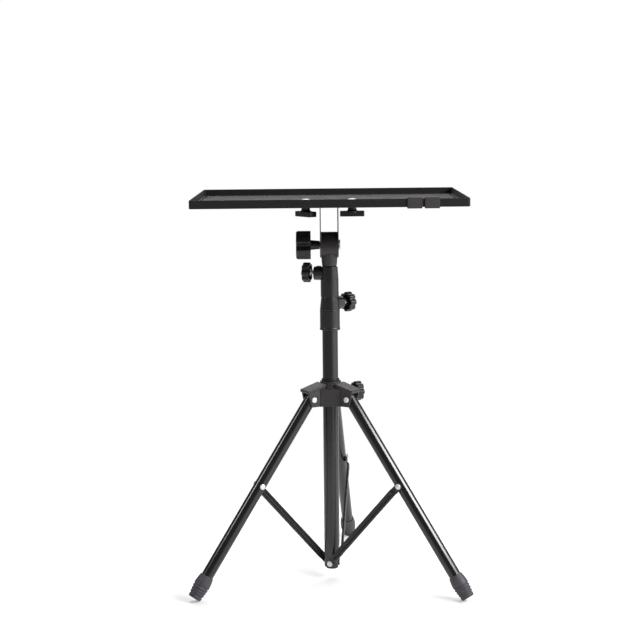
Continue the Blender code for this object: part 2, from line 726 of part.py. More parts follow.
def rivet(name, radius, head_radius, seat, end, second_head=False):
    """A domed rivet along its own Z, its head on the seat and its shank down to the end."""
    points = dome_profile(head_radius, seat, RIVET_HEAD_HEIGHT)
    points.append((radius, seat))
    if second_head:
        points.append((radius, end))
        mirrored = dome_profile(head_radius, -end, RIVET_HEAD_HEIGHT)
        points += [(r, -z) for r, z in reversed(mirrored)]
    else:
        points += [(radius, end), (0.0, end)]
    return turned(name, points, bright_steel(name), sides=RIVET_SIDES)


def build_hinge_rivet(side, azimuth):
    """The pin of a leg's hinge, headed outside both cheeks."""
    seat = CHEEK_OUTSIDE + TOUCH_GAP
    pin = rivet("hinge_rivet_" + side, RIVET_RADIUS, HINGE_RIVET_HEAD, seat, -seat, second_head=True)
    return put(pin, crown_frame, at=polar(azimuth, HINGE_REACH, HINGE_HEIGHT), turn=(90.0, 0.0, azimuth))


def strut_side_outline():
    """The strut from its edge: flat tabs at both ends, joggled out to the channel between."""
    half = STRUT_WIDTH
    shoulder = STRUT_TAB + STRUT_JOGGLE
    far = STRUT_LENGTH
    body_top = STRUT_SET_OUT + STRUT_BODY
    return [
        (-half, 0.0),
        (STRUT_TAB, 0.0),
        (shoulder, STRUT_SET_OUT),
        (far - shoulder, STRUT_SET_OUT),
        (far - STRUT_TAB, 0.0),
        (far + half, 0.0),
        (far + half, STRUT_PLATE),
        (far - STRUT_TAB, STRUT_PLATE),
        (far - shoulder, body_top),
        (shoulder, body_top),
        (STRUT_TAB, STRUT_PLATE),
        (-half, STRUT_PLATE),
    ]


def build_strut(side, carrier):
    """A pressed channel that leans from the tube's foot to the leg, with flat round ends."""
    half = STRUT_WIDTH / 2
    lean = math.degrees(STRUT_LEAN)
    along = Vector((math.sin(STRUT_LEAN), 0.0, math.cos(STRUT_LEAN)))
    paint = black_paint("strut_" + side)
    strut = flat_solid("strut_" + side, strut_side_outline(), STRUT_WIDTH, paint)
    put(strut, carrier, at=(0.0, -STRUT_FACE, 0.0), from_ground=False)
    strut.rotation_euler = on_edge(lean)
    outline = arc((0.0, 0.0), half, 180.0, 360.0, 11) + arc((0.0, STRUT_LENGTH), half, 0.0, 180.0, 11)
    plan = flat_solid("strut_plan_" + side, outline, STRUT_WIDTH * 4)
    put(plan, carrier, turn=(90.0, lean, 0.0), from_ground=False)
    combine(strut, plan, 'INTERSECT')
    groove_length = STRUT_LENGTH - STRUT_TAB * 2
    groove_floor = STRUT_FACE + STRUT_SET_OUT + STRUT_BODY - STRUT_GROOVE_DEPTH
    groove_centre = (0.0, STRUT_LENGTH / 2, groove_floor + STRUT_BODY / 2)
    groove_size = (STRUT_GROOVE_WIDTH, groove_length, STRUT_BODY)
    groove = block("strut_groove_" + side, groove_size, centre=groove_centre)
    put(groove, carrier, turn=(90.0, lean, 0.0), from_ground=False)
    cut(strut, groove)
    for end, place in (("base", 0.0), ("top", STRUT_LENGTH)):
        hole = pin_way("strut_hole_" + end + "_" + side, RIVET_RADIUS, 0.0, STRUT_FACE * 2)
        put(hole, carrier, at=along * place, turn=(90.0, 0.0, 0.0), from_ground=False)
        cut(strut, hole)
    return strut


def on_edge(lean):
    """Turn an outline drawn along X, thickness along Y, so that it leans and faces the side."""
    upright = Matrix(((0.0, 0.0, 1.0), (0.0, -1.0, 0.0), (1.0, 0.0, 0.0)))
    return (Matrix.Rotation(math.radians(lean), 3, 'Y') @ upright).to_euler()


def build_strut_rivets(side, azimuth, carrier):
    """The bright rivet at the tube's foot, and the one that holds the strut beside the leg."""
    head_seat = STRUT_FACE + STRUT_PLATE + TOUCH_GAP
    shank_end = TUBE_FOOT_BORE + TOUCH_GAP
    base = rivet("base_rivet_" + side, RIVET_RADIUS, BASE_RIVET_HEAD, head_seat, shank_end)
    put(base, root, at=polar(azimuth, STRUT_BASE_REACH, STRUT_BASE_HEIGHT), turn=(0.0, 90.0, azimuth - 90.0))
    shank_end = LEG_RADIUS + TOUCH_GAP
    top = rivet("strut_rivet_" + side, RIVET_RADIUS, STRUT_RIVET_HEAD, head_seat, shank_end)
    reach = Vector((STRUT_RUN, 0.0, STRUT_RISE))
    put(top, carrier, at=reach, turn=(90.0, 0.0, 0.0), from_ground=False)
    return base, top


# Mast

def seam_points(radius, height):
    """A shallow moulded line round a collar, as points of its profile."""
    half = SEAM_WIDTH / 2
    return [(radius, height + half), (radius - SEAM_DEPTH, height), (radius, height - half)]


def side_boss(name, radius, reach, height, azimuth, carrier):
    """A round boss out of a collar, and the way of its screw."""
    profile = [
        (0.0, reach),
        (radius - COLLAR_CHAMFER, reach),
        (radius, reach - COLLAR_CHAMFER),
        (radius, 0.0),
        (0.0, 0.0),
    ]
    boss = turned(name + "_boss", profile, sides=LEG_SIDES)
    way = pin_way(name + "_screw_way", SCREW_RADIUS, 0.0, reach * 2)
    for tool in (boss, way):
        put(tool, carrier, at=(0.0, 0.0, height), turn=(0.0, 90.0, azimuth))
    return boss, way


def build_lower_collar():
    """The moulded collar on the main tube's top, which clamps the middle tube."""
    foot, top = LOWER_COLLAR_FOOT, LOWER_COLLAR_TOP
    seam_height = foot + LOWER_COLLAR_SEAM
    profile = [
        (0.0, top),
        (LOWER_COLLAR_TOP_RADIUS - COLLAR_CHAMFER / 2, top),
        (LOWER_COLLAR_TOP_RADIUS, top - COLLAR_CHAMFER),
    ]
    profile += seam_points(LOWER_COLLAR_RADIUS, seam_height)
    profile += [
        (LOWER_COLLAR_RADIUS, foot + COLLAR_CHAMFER * 3),
        (LOWER_COLLAR_RADIUS - COLLAR_CHAMFER, foot),
        (0.0, foot),
    ]
    collar = put(turned("lower_collar", profile, black_plastic("lower_collar")), root)
    height = foot + LOWER_CLAMP_ABOVE_COLLAR_FOOT
    boss, way = side_boss("lower", LOWER_BOSS_RADIUS, BOSS_REACH, height, LOWER_CLAMP_AZIMUTH, root)
    shelf = MAIN_TUBE_TOP + TOUCH_GAP
    bore = turned("lower_collar_bore", [
        (0.0, top + COLLAR_CHAMFER),
        (MID_TUBE_RADIUS + SLIDE_GAP, top + COLLAR_CHAMFER),
        (MID_TUBE_RADIUS + SLIDE_GAP, shelf),
        (MAIN_TUBE_RADIUS + TOUCH_GAP, shelf),
        (MAIN_TUBE_RADIUS + TOUCH_GAP, foot - COLLAR_CHAMFER),
        (0.0, foot - COLLAR_CHAMFER),
    ])
    put(bore, root)
    join(collar, boss)
    return cut(collar, bore, way)


def build_upper_collar():
    """The moulded collar on the middle tube's top, which clamps the head's post."""
    foot, top = UPPER_COLLAR_FOOT, UPPER_COLLAR_TOP
    seam_height = foot + UPPER_COLLAR_SEAM
    profile = [
        (0.0, top),
        (UPPER_COLLAR_TOP_RADIUS - COLLAR_CHAMFER / 2, top),
        (UPPER_COLLAR_TOP_RADIUS, top - COLLAR_CHAMFER),
    ]
    profile += seam_points(UPPER_COLLAR_RADIUS, seam_height)
    profile += [
        (UPPER_COLLAR_RADIUS, foot + COLLAR_CHAMFER),
        (UPPER_COLLAR_RADIUS - COLLAR_CHAMFER, foot),
        (0.0, foot),
    ]
    collar = put(turned("upper_collar", profile, black_plastic("upper_collar")), mid_frame)
    height = foot + UPPER_CLAMP_ABOVE_COLLAR_FOOT
    boss, way = side_boss("upper", UPPER_BOSS_RADIUS, BOSS_REACH, height, UPPER_CLAMP_AZIMUTH, mid_frame)
    shelf = MID_TUBE_TOP + TOUCH_GAP
    bore = turned("upper_collar_bore", [
        (0.0, top + COLLAR_CHAMFER),
        (POST_RADIUS + SLIDE_GAP, top + COLLAR_CHAMFER),
        (POST_RADIUS + SLIDE_GAP, shelf),
        (MID_TUBE_RADIUS + TOUCH_GAP, shelf),
        (MID_TUBE_RADIUS + TOUCH_GAP, foot - COLLAR_CHAMFER),
        (0.0, foot - COLLAR_CHAMFER),
    ])
    put(bore, mid_frame)
    join(collar, boss)
    return cut(collar, bore, way)


def build_inner_tubes():
    """The middle tube and the head's post, each with a cap in its lower end."""
    mid_inner = MID_TUBE_RADIUS - MID_TUBE_WALL
    post_inner = POST_RADIUS - POST_WALL
    mid_profile = tube_profile(MID_TUBE_RADIUS, mid_inner, MID_TUBE_FOOT, MID_TUBE_TOP)
    post_profile = tube_profile(POST_RADIUS, post_inner, POST_FOOT, POST_TOP)
    mid = turned("mid_tube", mid_profile, black_paint("mid_tube"), ring=True)
    post = turned("head_post", post_profile, black_paint("head_post"), ring=True)
    put(mid, mid_frame)
    put(post, post_frame)
    put(end_cap("mid_tube_cap", MID_TUBE_RADIUS, mid_inner, MID_TUBE_FOOT), mid_frame)
    put(end_cap("head_post_cap", POST_RADIUS, post_inner, POST_FOOT), post_frame)


def end_cap(name, outer, inner, foot):
    flange_top = foot - TOUCH_GAP
    spigot = inner - TOUCH_GAP
    profile = [
        (0.0, flange_top + END_CAP_DEPTH),
        (spigot, flange_top + END_CAP_DEPTH),
        (spigot, flange_top),
        (outer, flange_top),
        (outer, flange_top - END_CAP_FLANGE),
        (0.0, flange_top - END_CAP_FLANGE),
    ]
    return turned(name, profile, black_plastic(name), sides=BOOT_SIDES)


# Clamp screws and knobs

def build_clamp(name, carrier, azimuth, height, clamped_radius, knob_reach):
    """A steel screw whose tip bears on the tube, and its hollow-backed lobed knob."""
    tip_reach = clamped_radius + TOUCH_GAP
    screw_end = knob_reach + KNOB_THICKNESS - KNOB_HOLLOW / 2
    steel = bright_steel(name + "_screw")
    screw = turned(name + "_screw", rod_profile(SCREW_RADIUS, tip_reach, screw_end), steel, sides=HOLE_SIDES)
    outline = lobed_outline(KNOB_RADIUS, KNOB_LOBE_DEPTH, KNOB_LOBES)
    knob = flat_solid(name + "_knob", outline, KNOB_THICKNESS, black_plastic(name + "_knob"))
    bevel(knob, MOULDED_EDGE, segments=1)
    rim_inside = KNOB_RADIUS - KNOB_LOBE_DEPTH - KNOB_RIM
    hollow_foot = knob_reach - KNOB_HOLLOW
    hollow_profile = tube_profile(rim_inside, KNOB_HUB_RADIUS, hollow_foot, knob_reach + KNOB_HOLLOW)
    hollow = turned(name + "_knob_hollow", hollow_profile, sides=LEG_SIDES, ring=True)
    bore = pin_way(name + "_knob_bore", SCREW_RADIUS, hollow_foot, screw_end + TOUCH_GAP)
    turn = (0.0, 90.0, azimuth)
    for piece in (screw, hollow, bore):
        put(piece, carrier, at=(0.0, 0.0, height), turn=turn)
    put(knob, carrier, at=polar(azimuth, knob_reach + KNOB_THICKNESS / 2, height), turn=turn)
    return screw, cut(knob, hollow, bore)


# Head

def ellipse_ring(half_x, half_y, height, count):
    angles = [2 * math.pi * i / count for i in range(count)]
    return [(half_x * math.cos(a), half_y * math.sin(a), height) for a in angles]


def neck_loft():
    """The neck: a round foot that grows front to back until it meets the barrel."""
    count = TUBE_SIDES
    sections = [
        (NECK_RADIUS, NECK_RADIUS, HEAD_FOOT),
        (NECK_RADIUS, NECK_RADIUS + (NECK_DEPTH - NECK_RADIUS) / 3, HEAD_FOOT + NECK_RISE / 3),
        (NECK_RADIUS, NECK_DEPTH, HEAD_FOOT + NECK_RISE),
        (NECK_RADIUS, NECK_DEPTH, PIVOT_HEIGHT),
    ]
    shape = bmesh.new()
    rings = [[shape.verts.new(point) for point in ellipse_ring(x, y, z, count)] for x, y, z in sections]
    shape.faces.new(list(reversed(rings[0])))
    shape.faces.new(rings[-1])
    for low, high in zip(rings, rings[1:]):
        for i in range(count):
            j = (i + 1) % count
            shape.faces.new((low[i], low[j], high[j], high[i]))
    mesh = bpy.data.meshes.new("head_neck")
    shape.to_mesh(mesh)
    shape.free()
    return add_mesh("head_neck", mesh)


def build_head_block():
    """The barrel that the bracket tilts on, the neck under it and the socket of the post."""
    barrel = rod_profile(HEAD_BARREL_RADIUS, -HEAD_HALF_WIDTH, HEAD_HALF_WIDTH)
    head = turned("head_block", barrel, black_plastic("head_block"))
    put(head, swivel_frame, at=(0.0, 0.0, PIVOT_HEIGHT), turn=(0.0, 90.0, 0.0))
    bevel(head, HEAD_EDGE, segments=1, angle=60.0)
    neck = put(neck_loft(), swivel_frame)
    socket_profile = rod_profile(POST_RADIUS + TOUCH_GAP, HEAD_FOOT - POST_IN_HEAD, POST_TOP + TOUCH_GAP)
    socket = put(turned("head_socket", socket_profile), swivel_frame)
    way = pin_way("head_bolt_way", TILT_BOLT_RADIUS, -HEAD_HALF_WIDTH * 2, HEAD_HALF_WIDTH * 2)
    put(way, swivel_frame, at=(0.0, 0.0, PIVOT_HEIGHT), turn=(0.0, 90.0, 0.0))
    join(head, neck)
    return cut(head, socket, way)


def build_tilt_bolt():
    """A hexagon-headed bolt from right to left through both ears and the barrel."""
    head_seat = EAR_OUTSIDE + TOUCH_GAP
    end = -(EAR_OUTSIDE + TOUCH_GAP + TILT_STEM_LENGTH + TILT_BOLT_IN_KNOB)
    head_top = head_seat + TILT_HEAD_THICKNESS
    shank = rod_profile(TILT_BOLT_RADIUS, end, head_seat + TILT_HEAD_THICKNESS / 2)
    bolt = turned("tilt_bolt", shank, bright_steel("tilt_bolt"), sides=RIVET_SIDES)
    hexagon = rod_profile(TILT_HEAD_ACROSS_CORNERS / 2, head_seat, head_top)
    head = turned("tilt_bolt_head", hexagon, sides=6)
    for piece in (bolt, head):
        put(piece, tilt_frame, at=(0.0, 0.0, PIVOT_HEIGHT), turn=(0.0, 90.0, 0.0))
    return join(bolt, head)


def build_tilt_knob():
    """The long-stemmed winged knob on the bolt's left end."""
    stem_face = EAR_OUTSIDE + TOUCH_GAP
    body_face = stem_face + TILT_STEM_LENGTH
    outline = lobed_outline(TILT_KNOB_RADIUS, TILT_KNOB_WING_DEPTH, TILT_KNOB_WINGS, points_per_lobe=6)
    knob = flat_solid("tilt_knob", outline, TILT_KNOB_LENGTH, black_plastic("tilt_knob"))
    bevel(knob, TILT_KNOB_EDGE, segments=1)
    knob_middle = -(body_face + TILT_KNOB_LENGTH / 2)
    put(knob, tilt_frame, at=(knob_middle, 0.0, PIVOT_HEIGHT), turn=(0.0, -90.0, 0.0))
    stem = turned("tilt_knob_stem", [
        (0.0, body_face + TILT_STEM_NARROW / 2),
        (TILT_STEM_WIDE, body_face + TILT_STEM_NARROW / 2),
        (TILT_STEM_WIDE, body_face),
        (TILT_STEM_NARROW, stem_face),
        (0.0, stem_face),
    ], sides=TUBE_SIDES)
    bolt_end = body_face + TILT_BOLT_IN_KNOB + TOUCH_GAP
    bore = pin_way("tilt_knob_bore", TILT_BOLT_RADIUS, 0.0, bolt_end)
    for tool in (stem, bore):
        put(tool, tilt_frame, at=(0.0, 0.0, PIVOT_HEIGHT), turn=(0.0, -90.0, 0.0))
    join(knob, stem)
    return cut(knob, bore)


# Tray

def rounded_rectangle(half_x, half_y, corner):
    points = []
    for centre_x, centre_y, start in ((1, 1, 0.0), (-1, 1, 90.0), (-1, -1, 180.0), (1, -1, 270.0)):
        middle = (centre_x * (half_x - corner), centre_y * (half_y - corner))
        points += arc(middle, corner, start, start + 90.0, 5)
    return points


def build_bracket():
    """The steel bracket: a base plate under the tray and two round-ended ears."""
    base_outline = rounded_rectangle(BRACKET_HALF_LENGTH, EAR_RADIUS, BRACKET_CORNER)
    bracket = flat_solid("tilt_bracket", base_outline, BRACKET_BASE, black_paint("tilt_bracket"))
    put(bracket, tilt_frame, at=(0.0, 0.0, BRACKET_TOP - BRACKET_BASE / 2))
    rise = BRACKET_RISE - BRACKET_BASE / 2
    ear_outline = arc((0.0, 0.0), EAR_RADIUS, 180.0, 360.0, 17) + [(EAR_RADIUS, rise), (-EAR_RADIUS, rise)]
    for side, sign in (("left", -1), ("right", 1)):
        ear = flat_solid("bracket_ear_" + side, ear_outline, EAR_THICKNESS)
        ear_middle = sign * (EAR_INSIDE + EAR_THICKNESS / 2)
        put(ear, tilt_frame, at=(ear_middle, 0.0, PIVOT_HEIGHT), turn=(90.0, 0.0, 90.0))
        join(bracket, ear)
        hole = pin_way("bracket_bolt_hole_" + side, TRAY_BOLT_RADIUS, PIVOT_HEIGHT, TRAY_TOP)
        put(hole, tilt_frame, at=(sign * TRAY_BOLT_SPACING / 2, 0.0, 0.0))
        cut(bracket, hole)
    way = pin_way("bracket_pivot_hole", TILT_BOLT_RADIUS, -EAR_OUTSIDE * 2, EAR_OUTSIDE * 2)
    put(way, tilt_frame, at=(0.0, 0.0, PIVOT_HEIGHT), turn=(0.0, 90.0, 0.0))
    return cut(bracket, way)


def pan_mesh():
    """A pan with an even floor and rim, its faces parted in front of and behind the bracket."""
    rings = (
        (0.0, 0.0),
        (0.0, TRAY_RIM),
        (TRAY_SHEET, TRAY_RIM),
        (TRAY_SHEET, TRAY_SHEET),
    )
    points = []
    for inset, height in rings:
        outline = rounded_rectangle(TRAY_WIDTH / 2 - inset, TRAY_DEPTH / 2 - inset, TRAY_CORNER - inset)
        points += [(x, y, height) for x, y in outline]
    count = len(points) // len(rings)
    faces = [tuple(reversed(range(count))), tuple(range(len(points) - count, len(points)))]
    for lower in range(0, len(points) - count, count):
        for i in range(count):
            j = (i + 1) % count
            faces.append((lower + i, lower + j, lower + count + j, lower + count + i))
    mesh = bpy.data.meshes.new("tray")
    mesh.from_pydata(points, [], faces)
    shape = bmesh.new()
    shape.from_mesh(mesh)
    for side in (-1, 1):
        edge_of_bracket = Vector((0.0, side * EAR_RADIUS - TRAY_BACK_SHIFT, 0.0))
        everything = shape.verts[:] + shape.edges[:] + shape.faces[:]
        bmesh.ops.bisect_plane(shape, geom=everything, plane_co=edge_of_bracket, plane_no=(0.0, 1.0, 0.0))
    shape.to_mesh(mesh)
    shape.free()
    return mesh


def build_tray():
    """A folded sheet pan with a low rim all round, two slots and two bolt holes."""
    tray = add_mesh("tray", pan_mesh(), black_paint("tray"))
    put(tray, tilt_frame, at=(0.0, TRAY_BACK_SHIFT, TRAY_FOOT))
    slot_reach = TRAY_WIDTH / 2 - TRAY_SHEET - TRAY_SLOT_FROM_RIM
    slot_corner = TRAY_SLOT_WIDTH / 2 - TOUCH_GAP
    for side, sign in (("left", -1), ("right", 1)):
        outline = rounded_rectangle(TRAY_SLOT_WIDTH / 2, TRAY_SLOT_LENGTH / 2, slot_corner)
        slot = flat_solid("tray_slot_" + side, outline, TRAY_RIM)
        put(slot, tilt_frame, at=(sign * slot_reach, TRAY_BACK_SHIFT + TRAY_SLOT_CENTRE, TRAY_FOOT))
        hole = pin_way("tray_bolt_hole_" + side, TRAY_BOLT_RADIUS, PIVOT_HEIGHT, TRAY_TOP)
        put(hole, tilt_frame, at=(sign * TRAY_BOLT_SPACING / 2, 0.0, 0.0))
        cut(tray, slot, hole)
    return tray


def build_tray_bolt(side, sign):
    """A low-headed bolt through the tray and the bracket, and the T-shaped knob under it."""
    seat = TRAY_FLOOR + TOUCH_GAP
    knob_top = BRACKET_TOP - BRACKET_BASE - TOUCH_GAP
    bolt_end = knob_top - T_KNOB_BOLT_DEPTH
    profile = dome_profile(TRAY_BOLT_HEAD_RADIUS, seat, TRAY_BOLT_HEAD_HEIGHT)
    profile += [(TRAY_BOLT_RADIUS, seat), (TRAY_BOLT_RADIUS, bolt_end), (0.0, bolt_end)]
    place = (sign * TRAY_BOLT_SPACING / 2, 0.0, 0.0)
    bolt = turned("tray_bolt_" + side, profile, bright_steel("tray_bolt_" + side), sides=BOOT_SIDES)
    put(bolt, tilt_frame, at=place)
    bar_top = knob_top - T_KNOB_HUB_LENGTH
    hub_foot_radius = T_KNOB_HUB_RADIUS + T_KNOB_FLARE
    fillet = arc((hub_foot_radius, bar_top + T_KNOB_FLARE), T_KNOB_FLARE, 180.0, 270.0, 4)
    hub_profile = [(0.0, knob_top), (T_KNOB_HUB_RADIUS, knob_top)] + fillet
    hub_profile += [(hub_foot_radius, bar_top - T_KNOB_FLARE), (0.0, bar_top - T_KNOB_FLARE)]
    bar_size = (T_KNOB_BAR_LENGTH, T_KNOB_BAR_WIDTH, T_KNOB_BAR_HEIGHT)
    bar_middle = (0.0, 0.0, bar_top - T_KNOB_BAR_HEIGHT / 2)
    knob = block("t_knob_" + side, bar_size, black_plastic("t_knob_" + side), centre=bar_middle)
    bevel(knob, T_KNOB_EDGE, segments=1)
    hub = turned("t_knob_hub_" + side, hub_profile, sides=BOOT_SIDES)
    bore = pin_way("t_knob_bore_" + side, TRAY_BOLT_RADIUS, bolt_end - TOUCH_GAP, TRAY_TOP)
    for piece in (knob, hub, bore):
        put(piece, tilt_frame, at=place, turn=(0.0, 0.0, T_KNOB_TURNS[side]))
    join(knob, hub)
    return bolt, cut(knob, bore)


def build_clip(name, centre):
    """A sheet clip hooked over the front rim and under the tray's floor."""
    outside = -(TOUCH_GAP + CLIP_WALL)
    inside = TRAY_SHEET + TOUCH_GAP
    foot = TRAY_FOOT - TOUCH_GAP - CLIP_WALL
    top = TRAY_TOP + TOUCH_GAP + CLIP_WALL
    outline = [
        (outside, foot),
        (CLIP_LIP, foot),
        (CLIP_LIP, foot + CLIP_WALL),
        (-TOUCH_GAP, foot + CLIP_WALL),
        (-TOUCH_GAP, top - CLIP_WALL),
        (inside, top - CLIP_WALL),
        (inside, top - CLIP_WALL - CLIP_HOOK),
        (inside + CLIP_WALL, top - CLIP_WALL - CLIP_HOOK),
        (inside + CLIP_WALL, top),
        (outside, top),
    ]
    clip = flat_solid("rim_clip_" + name, outline, CLIP_WIDTH, black_plastic("rim_clip_" + name))
    bevel(clip, CLIP_EDGE, segments=1)
    return put(clip, tilt_frame, at=(centre, TRAY_FRONT, 0.0), turn=(90.0, 0.0, 90.0))


# Assembly

root = frame("stand_frame", (0.0, 0.0, 0.0))
root.location = (MAST_OFFSET_X, MAST_OFFSET_Y, 0.0)
crown_frame = frame("crown_frame", (0.0, 0.0, HINGE_HEIGHT), root)
mid_frame = frame("mid_tube_frame", (0.0, 0.0, UPPER_COLLAR_FOOT), root)
post_frame = frame("head_post_frame", (0.0, 0.0, HEAD_FOOT), mid_frame)
swivel_frame = frame("swivel_frame", (0.0, 0.0, HEAD_FOOT), post_frame)
tilt_frame = frame("tilt_frame", (0.0, 0.0, PIVOT_HEIGHT), swivel_frame)

build_main_tube()
build_tube_plug()
build_crown()
build_crown_bush()
for leg_side, leg_azimuth in LEG_AZIMUTHS.items():
    leg_pin = polar(leg_azimuth, HINGE_REACH, HINGE_HEIGHT)
    strut_pin = polar(leg_azimuth, STRUT_BASE_REACH, STRUT_BASE_HEIGHT)
    leg_frame = frame("leg_frame_" + leg_side, leg_pin, crown_frame, leg_azimuth)
    strut_frame = frame("strut_frame_" + leg_side, strut_pin, root, leg_azimuth)
    build_leg(leg_side, leg_frame)
    build_leg_rivet(leg_side, leg_frame)
    build_boot(leg_side, leg_frame)
    build_hinge_rivet(leg_side, leg_azimuth)
    build_strut(leg_side, strut_frame)
    build_strut_rivets(leg_side, leg_azimuth, strut_frame)
build_lower_collar()
build_upper_collar()
build_inner_tubes()
crown_clamp_height = HINGE_HEIGHT + CROWN_CLAMP_ABOVE_HINGE
lower_clamp_height = LOWER_COLLAR_FOOT + LOWER_CLAMP_ABOVE_COLLAR_FOOT
upper_clamp_height = UPPER_COLLAR_FOOT + UPPER_CLAMP_ABOVE_COLLAR_FOOT
build_clamp(
    "crown_clamp", crown_frame, CROWN_CLAMP_AZIMUTH, crown_clamp_height, MAIN_TUBE_RADIUS, CROWN_KNOB_REACH
)
build_clamp("lower_clamp", root, LOWER_CLAMP_AZIMUTH, lower_clamp_height, MID_TUBE_RADIUS, KNOB_REACH)
build_clamp("upper_clamp", mid_frame, UPPER_CLAMP_AZIMUTH, upper_clamp_height, POST_RADIUS, KNOB_REACH)
build_head_block()
build_tilt_bolt()
build_tilt_knob()
build_bracket()
build_tray()
for bolt_side, bolt_sign in (("left", -1), ("right", 1)):
    build_tray_bolt(bolt_side, bolt_sign)
for clip_name, from_end in CLIPS_FROM_END.items():
    build_clip(clip_name, TRAY_WIDTH / 2 - from_end)
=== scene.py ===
"""Looks of the tripod laptop stand: painted tubes, moulded collars and knobs, a sheet tray.

Units are metres and degrees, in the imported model's own frame. Main sizes and places are read
from the frame. Every shape is made in a local frame and then moved to its place.
"""

import json
from math import atan2, cos, degrees, exp, hypot, pi, radians, sin, sqrt, tan

import bmesh
import bpy
from mathutils import Matrix, Vector


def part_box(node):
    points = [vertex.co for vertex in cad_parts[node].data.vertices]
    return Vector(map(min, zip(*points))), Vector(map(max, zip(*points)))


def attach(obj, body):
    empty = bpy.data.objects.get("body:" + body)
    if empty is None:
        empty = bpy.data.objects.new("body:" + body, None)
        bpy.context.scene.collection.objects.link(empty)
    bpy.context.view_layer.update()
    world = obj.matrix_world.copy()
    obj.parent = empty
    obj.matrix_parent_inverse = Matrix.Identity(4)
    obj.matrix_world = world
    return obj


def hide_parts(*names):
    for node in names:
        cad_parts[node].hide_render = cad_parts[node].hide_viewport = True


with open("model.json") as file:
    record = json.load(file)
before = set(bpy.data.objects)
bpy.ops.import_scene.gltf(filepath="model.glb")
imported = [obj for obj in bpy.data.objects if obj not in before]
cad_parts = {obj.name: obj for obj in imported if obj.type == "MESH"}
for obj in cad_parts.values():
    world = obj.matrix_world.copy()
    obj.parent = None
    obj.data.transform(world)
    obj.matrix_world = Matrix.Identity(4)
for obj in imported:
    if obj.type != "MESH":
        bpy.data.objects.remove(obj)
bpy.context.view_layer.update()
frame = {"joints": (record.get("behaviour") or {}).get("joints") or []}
joints = {joint["name"]: joint for joint in frame["joints"]}

# Sides of round shapes, and limits for corners
SIDES = 96
SMALL_SIDES = 48
THREAD_SIDES = 32
FINE_SIDES = 16

NEARLY_STRAIGHT = 172.0
SHARP_ABOVE = 38.0
MERGE_DISTANCE = 0.000002

# Gaps between pieces, and how far a cutter runs past what it cuts
TOUCH_GAP = 0.0003
CUT_PAST = 0.002
CROWN_CUT_PAST = 0.003
CROSS_CUT = 0.030

# Legs and boots
LEG_AZIMUTHS = {"left": 208.5, "right": 328.5, "rear": 82.5}
LEG_SPREAD = joints["leg_fold_left"]["range_deg"][1]
LEG_LENGTH = 0.3308
LEG_RADIUS = 0.0088
LEG_WALL = 0.0011
LEG_TOP_OVERRUN = 0.0052
BOOT_STEPS = 96
BOOT_LENGTH = 0.0360
BOOT_MOUTH_RADIUS = 0.0100
BOOT_WAIST_RADIUS = 0.0119
BOOT_END_RADIUS = 0.0093
BOOT_WAIST_BELOW_MOUTH = 0.0150
BOOT_RIBS_BELOW_MOUTH = 0.0325
BOOT_FLOOR = 0.0070
BOOT_RIBS = 4
BOOT_RIB_DEPTH = 0.0010
BOOT_RIB_SHARE = 0.35
BOOT_GROOVE_POWER = 0.7
BOOT_LIP = 0.0004
BOOT_MOUTH_EDGE = 0.0003
BOOT_END_EDGE = 0.0010
BOOT_TREAD_SHARE = 0.6
BOOT_TREAD_WIDTH = 0.0014
BOOT_TREAD_DEPTH = 0.0008
BOOT_TREAD_SLOPE = 0.0006

# Struts
STRUT_ON_LEG = 0.1460
STRUT_WIDTH = 0.0107
STRUT_PLATE = 0.0014
STRUT_BODY = 0.0030
STRUT_TAB = 0.0090
STRUT_JOGGLE = 0.0040
STRUT_GROOVE_WIDTH = 0.0034
STRUT_GROOVE_DEPTH = 0.0017
STRUT_ROLL_WIDTH = 0.0009
STRUT_ROLL_DEPTH = 0.0007
STRUT_FLANGE = 0.0024
STRUT_FLANGE_BEND = 0.0008
STRUT_COLUMNS = 24
STRUT_STEPS = 150
STRUT_END_STEPS = 10

# Rivets, from the axis outwards and from the seat up
RIVET_RADIUS = 0.0020
HINGE_RIVET_HEAD = 0.0041
STRUT_RIVET_HEAD = 0.0042
BASE_RIVET_HEAD = 0.0045
RIVET_HEAD_HEIGHT = 0.0017
RIVET_DOME = 0.001715
RIVET_DOME_STEPS = 8
RIVET_DIMPLE = 0.0011

# Mast tubes
MAIN_RADIUS = 0.0114
MAIN_WALL = 0.0011
MID_RADIUS = 0.0099
MID_WALL = 0.0010
POST_RADIUS = 0.0084
POST_WALL = 0.0012
TUBE_EDGE = 0.0003
TUBE_FLAT_REACH = 0.0094
TUBE_FLAT_HEIGHT = 0.0200
TUBE_FLAT_RUNOUT = 0.0180
TUBE_RUNOUT_POWER = 1.3
TUBE_FOOT_BORE = 0.0080
TUBE_FOOT_EDGE = 0.0006
CAP_FLANGE = 0.0015
PLUG_TAPER = 0.0006
PLUG_EDGE = 0.0004

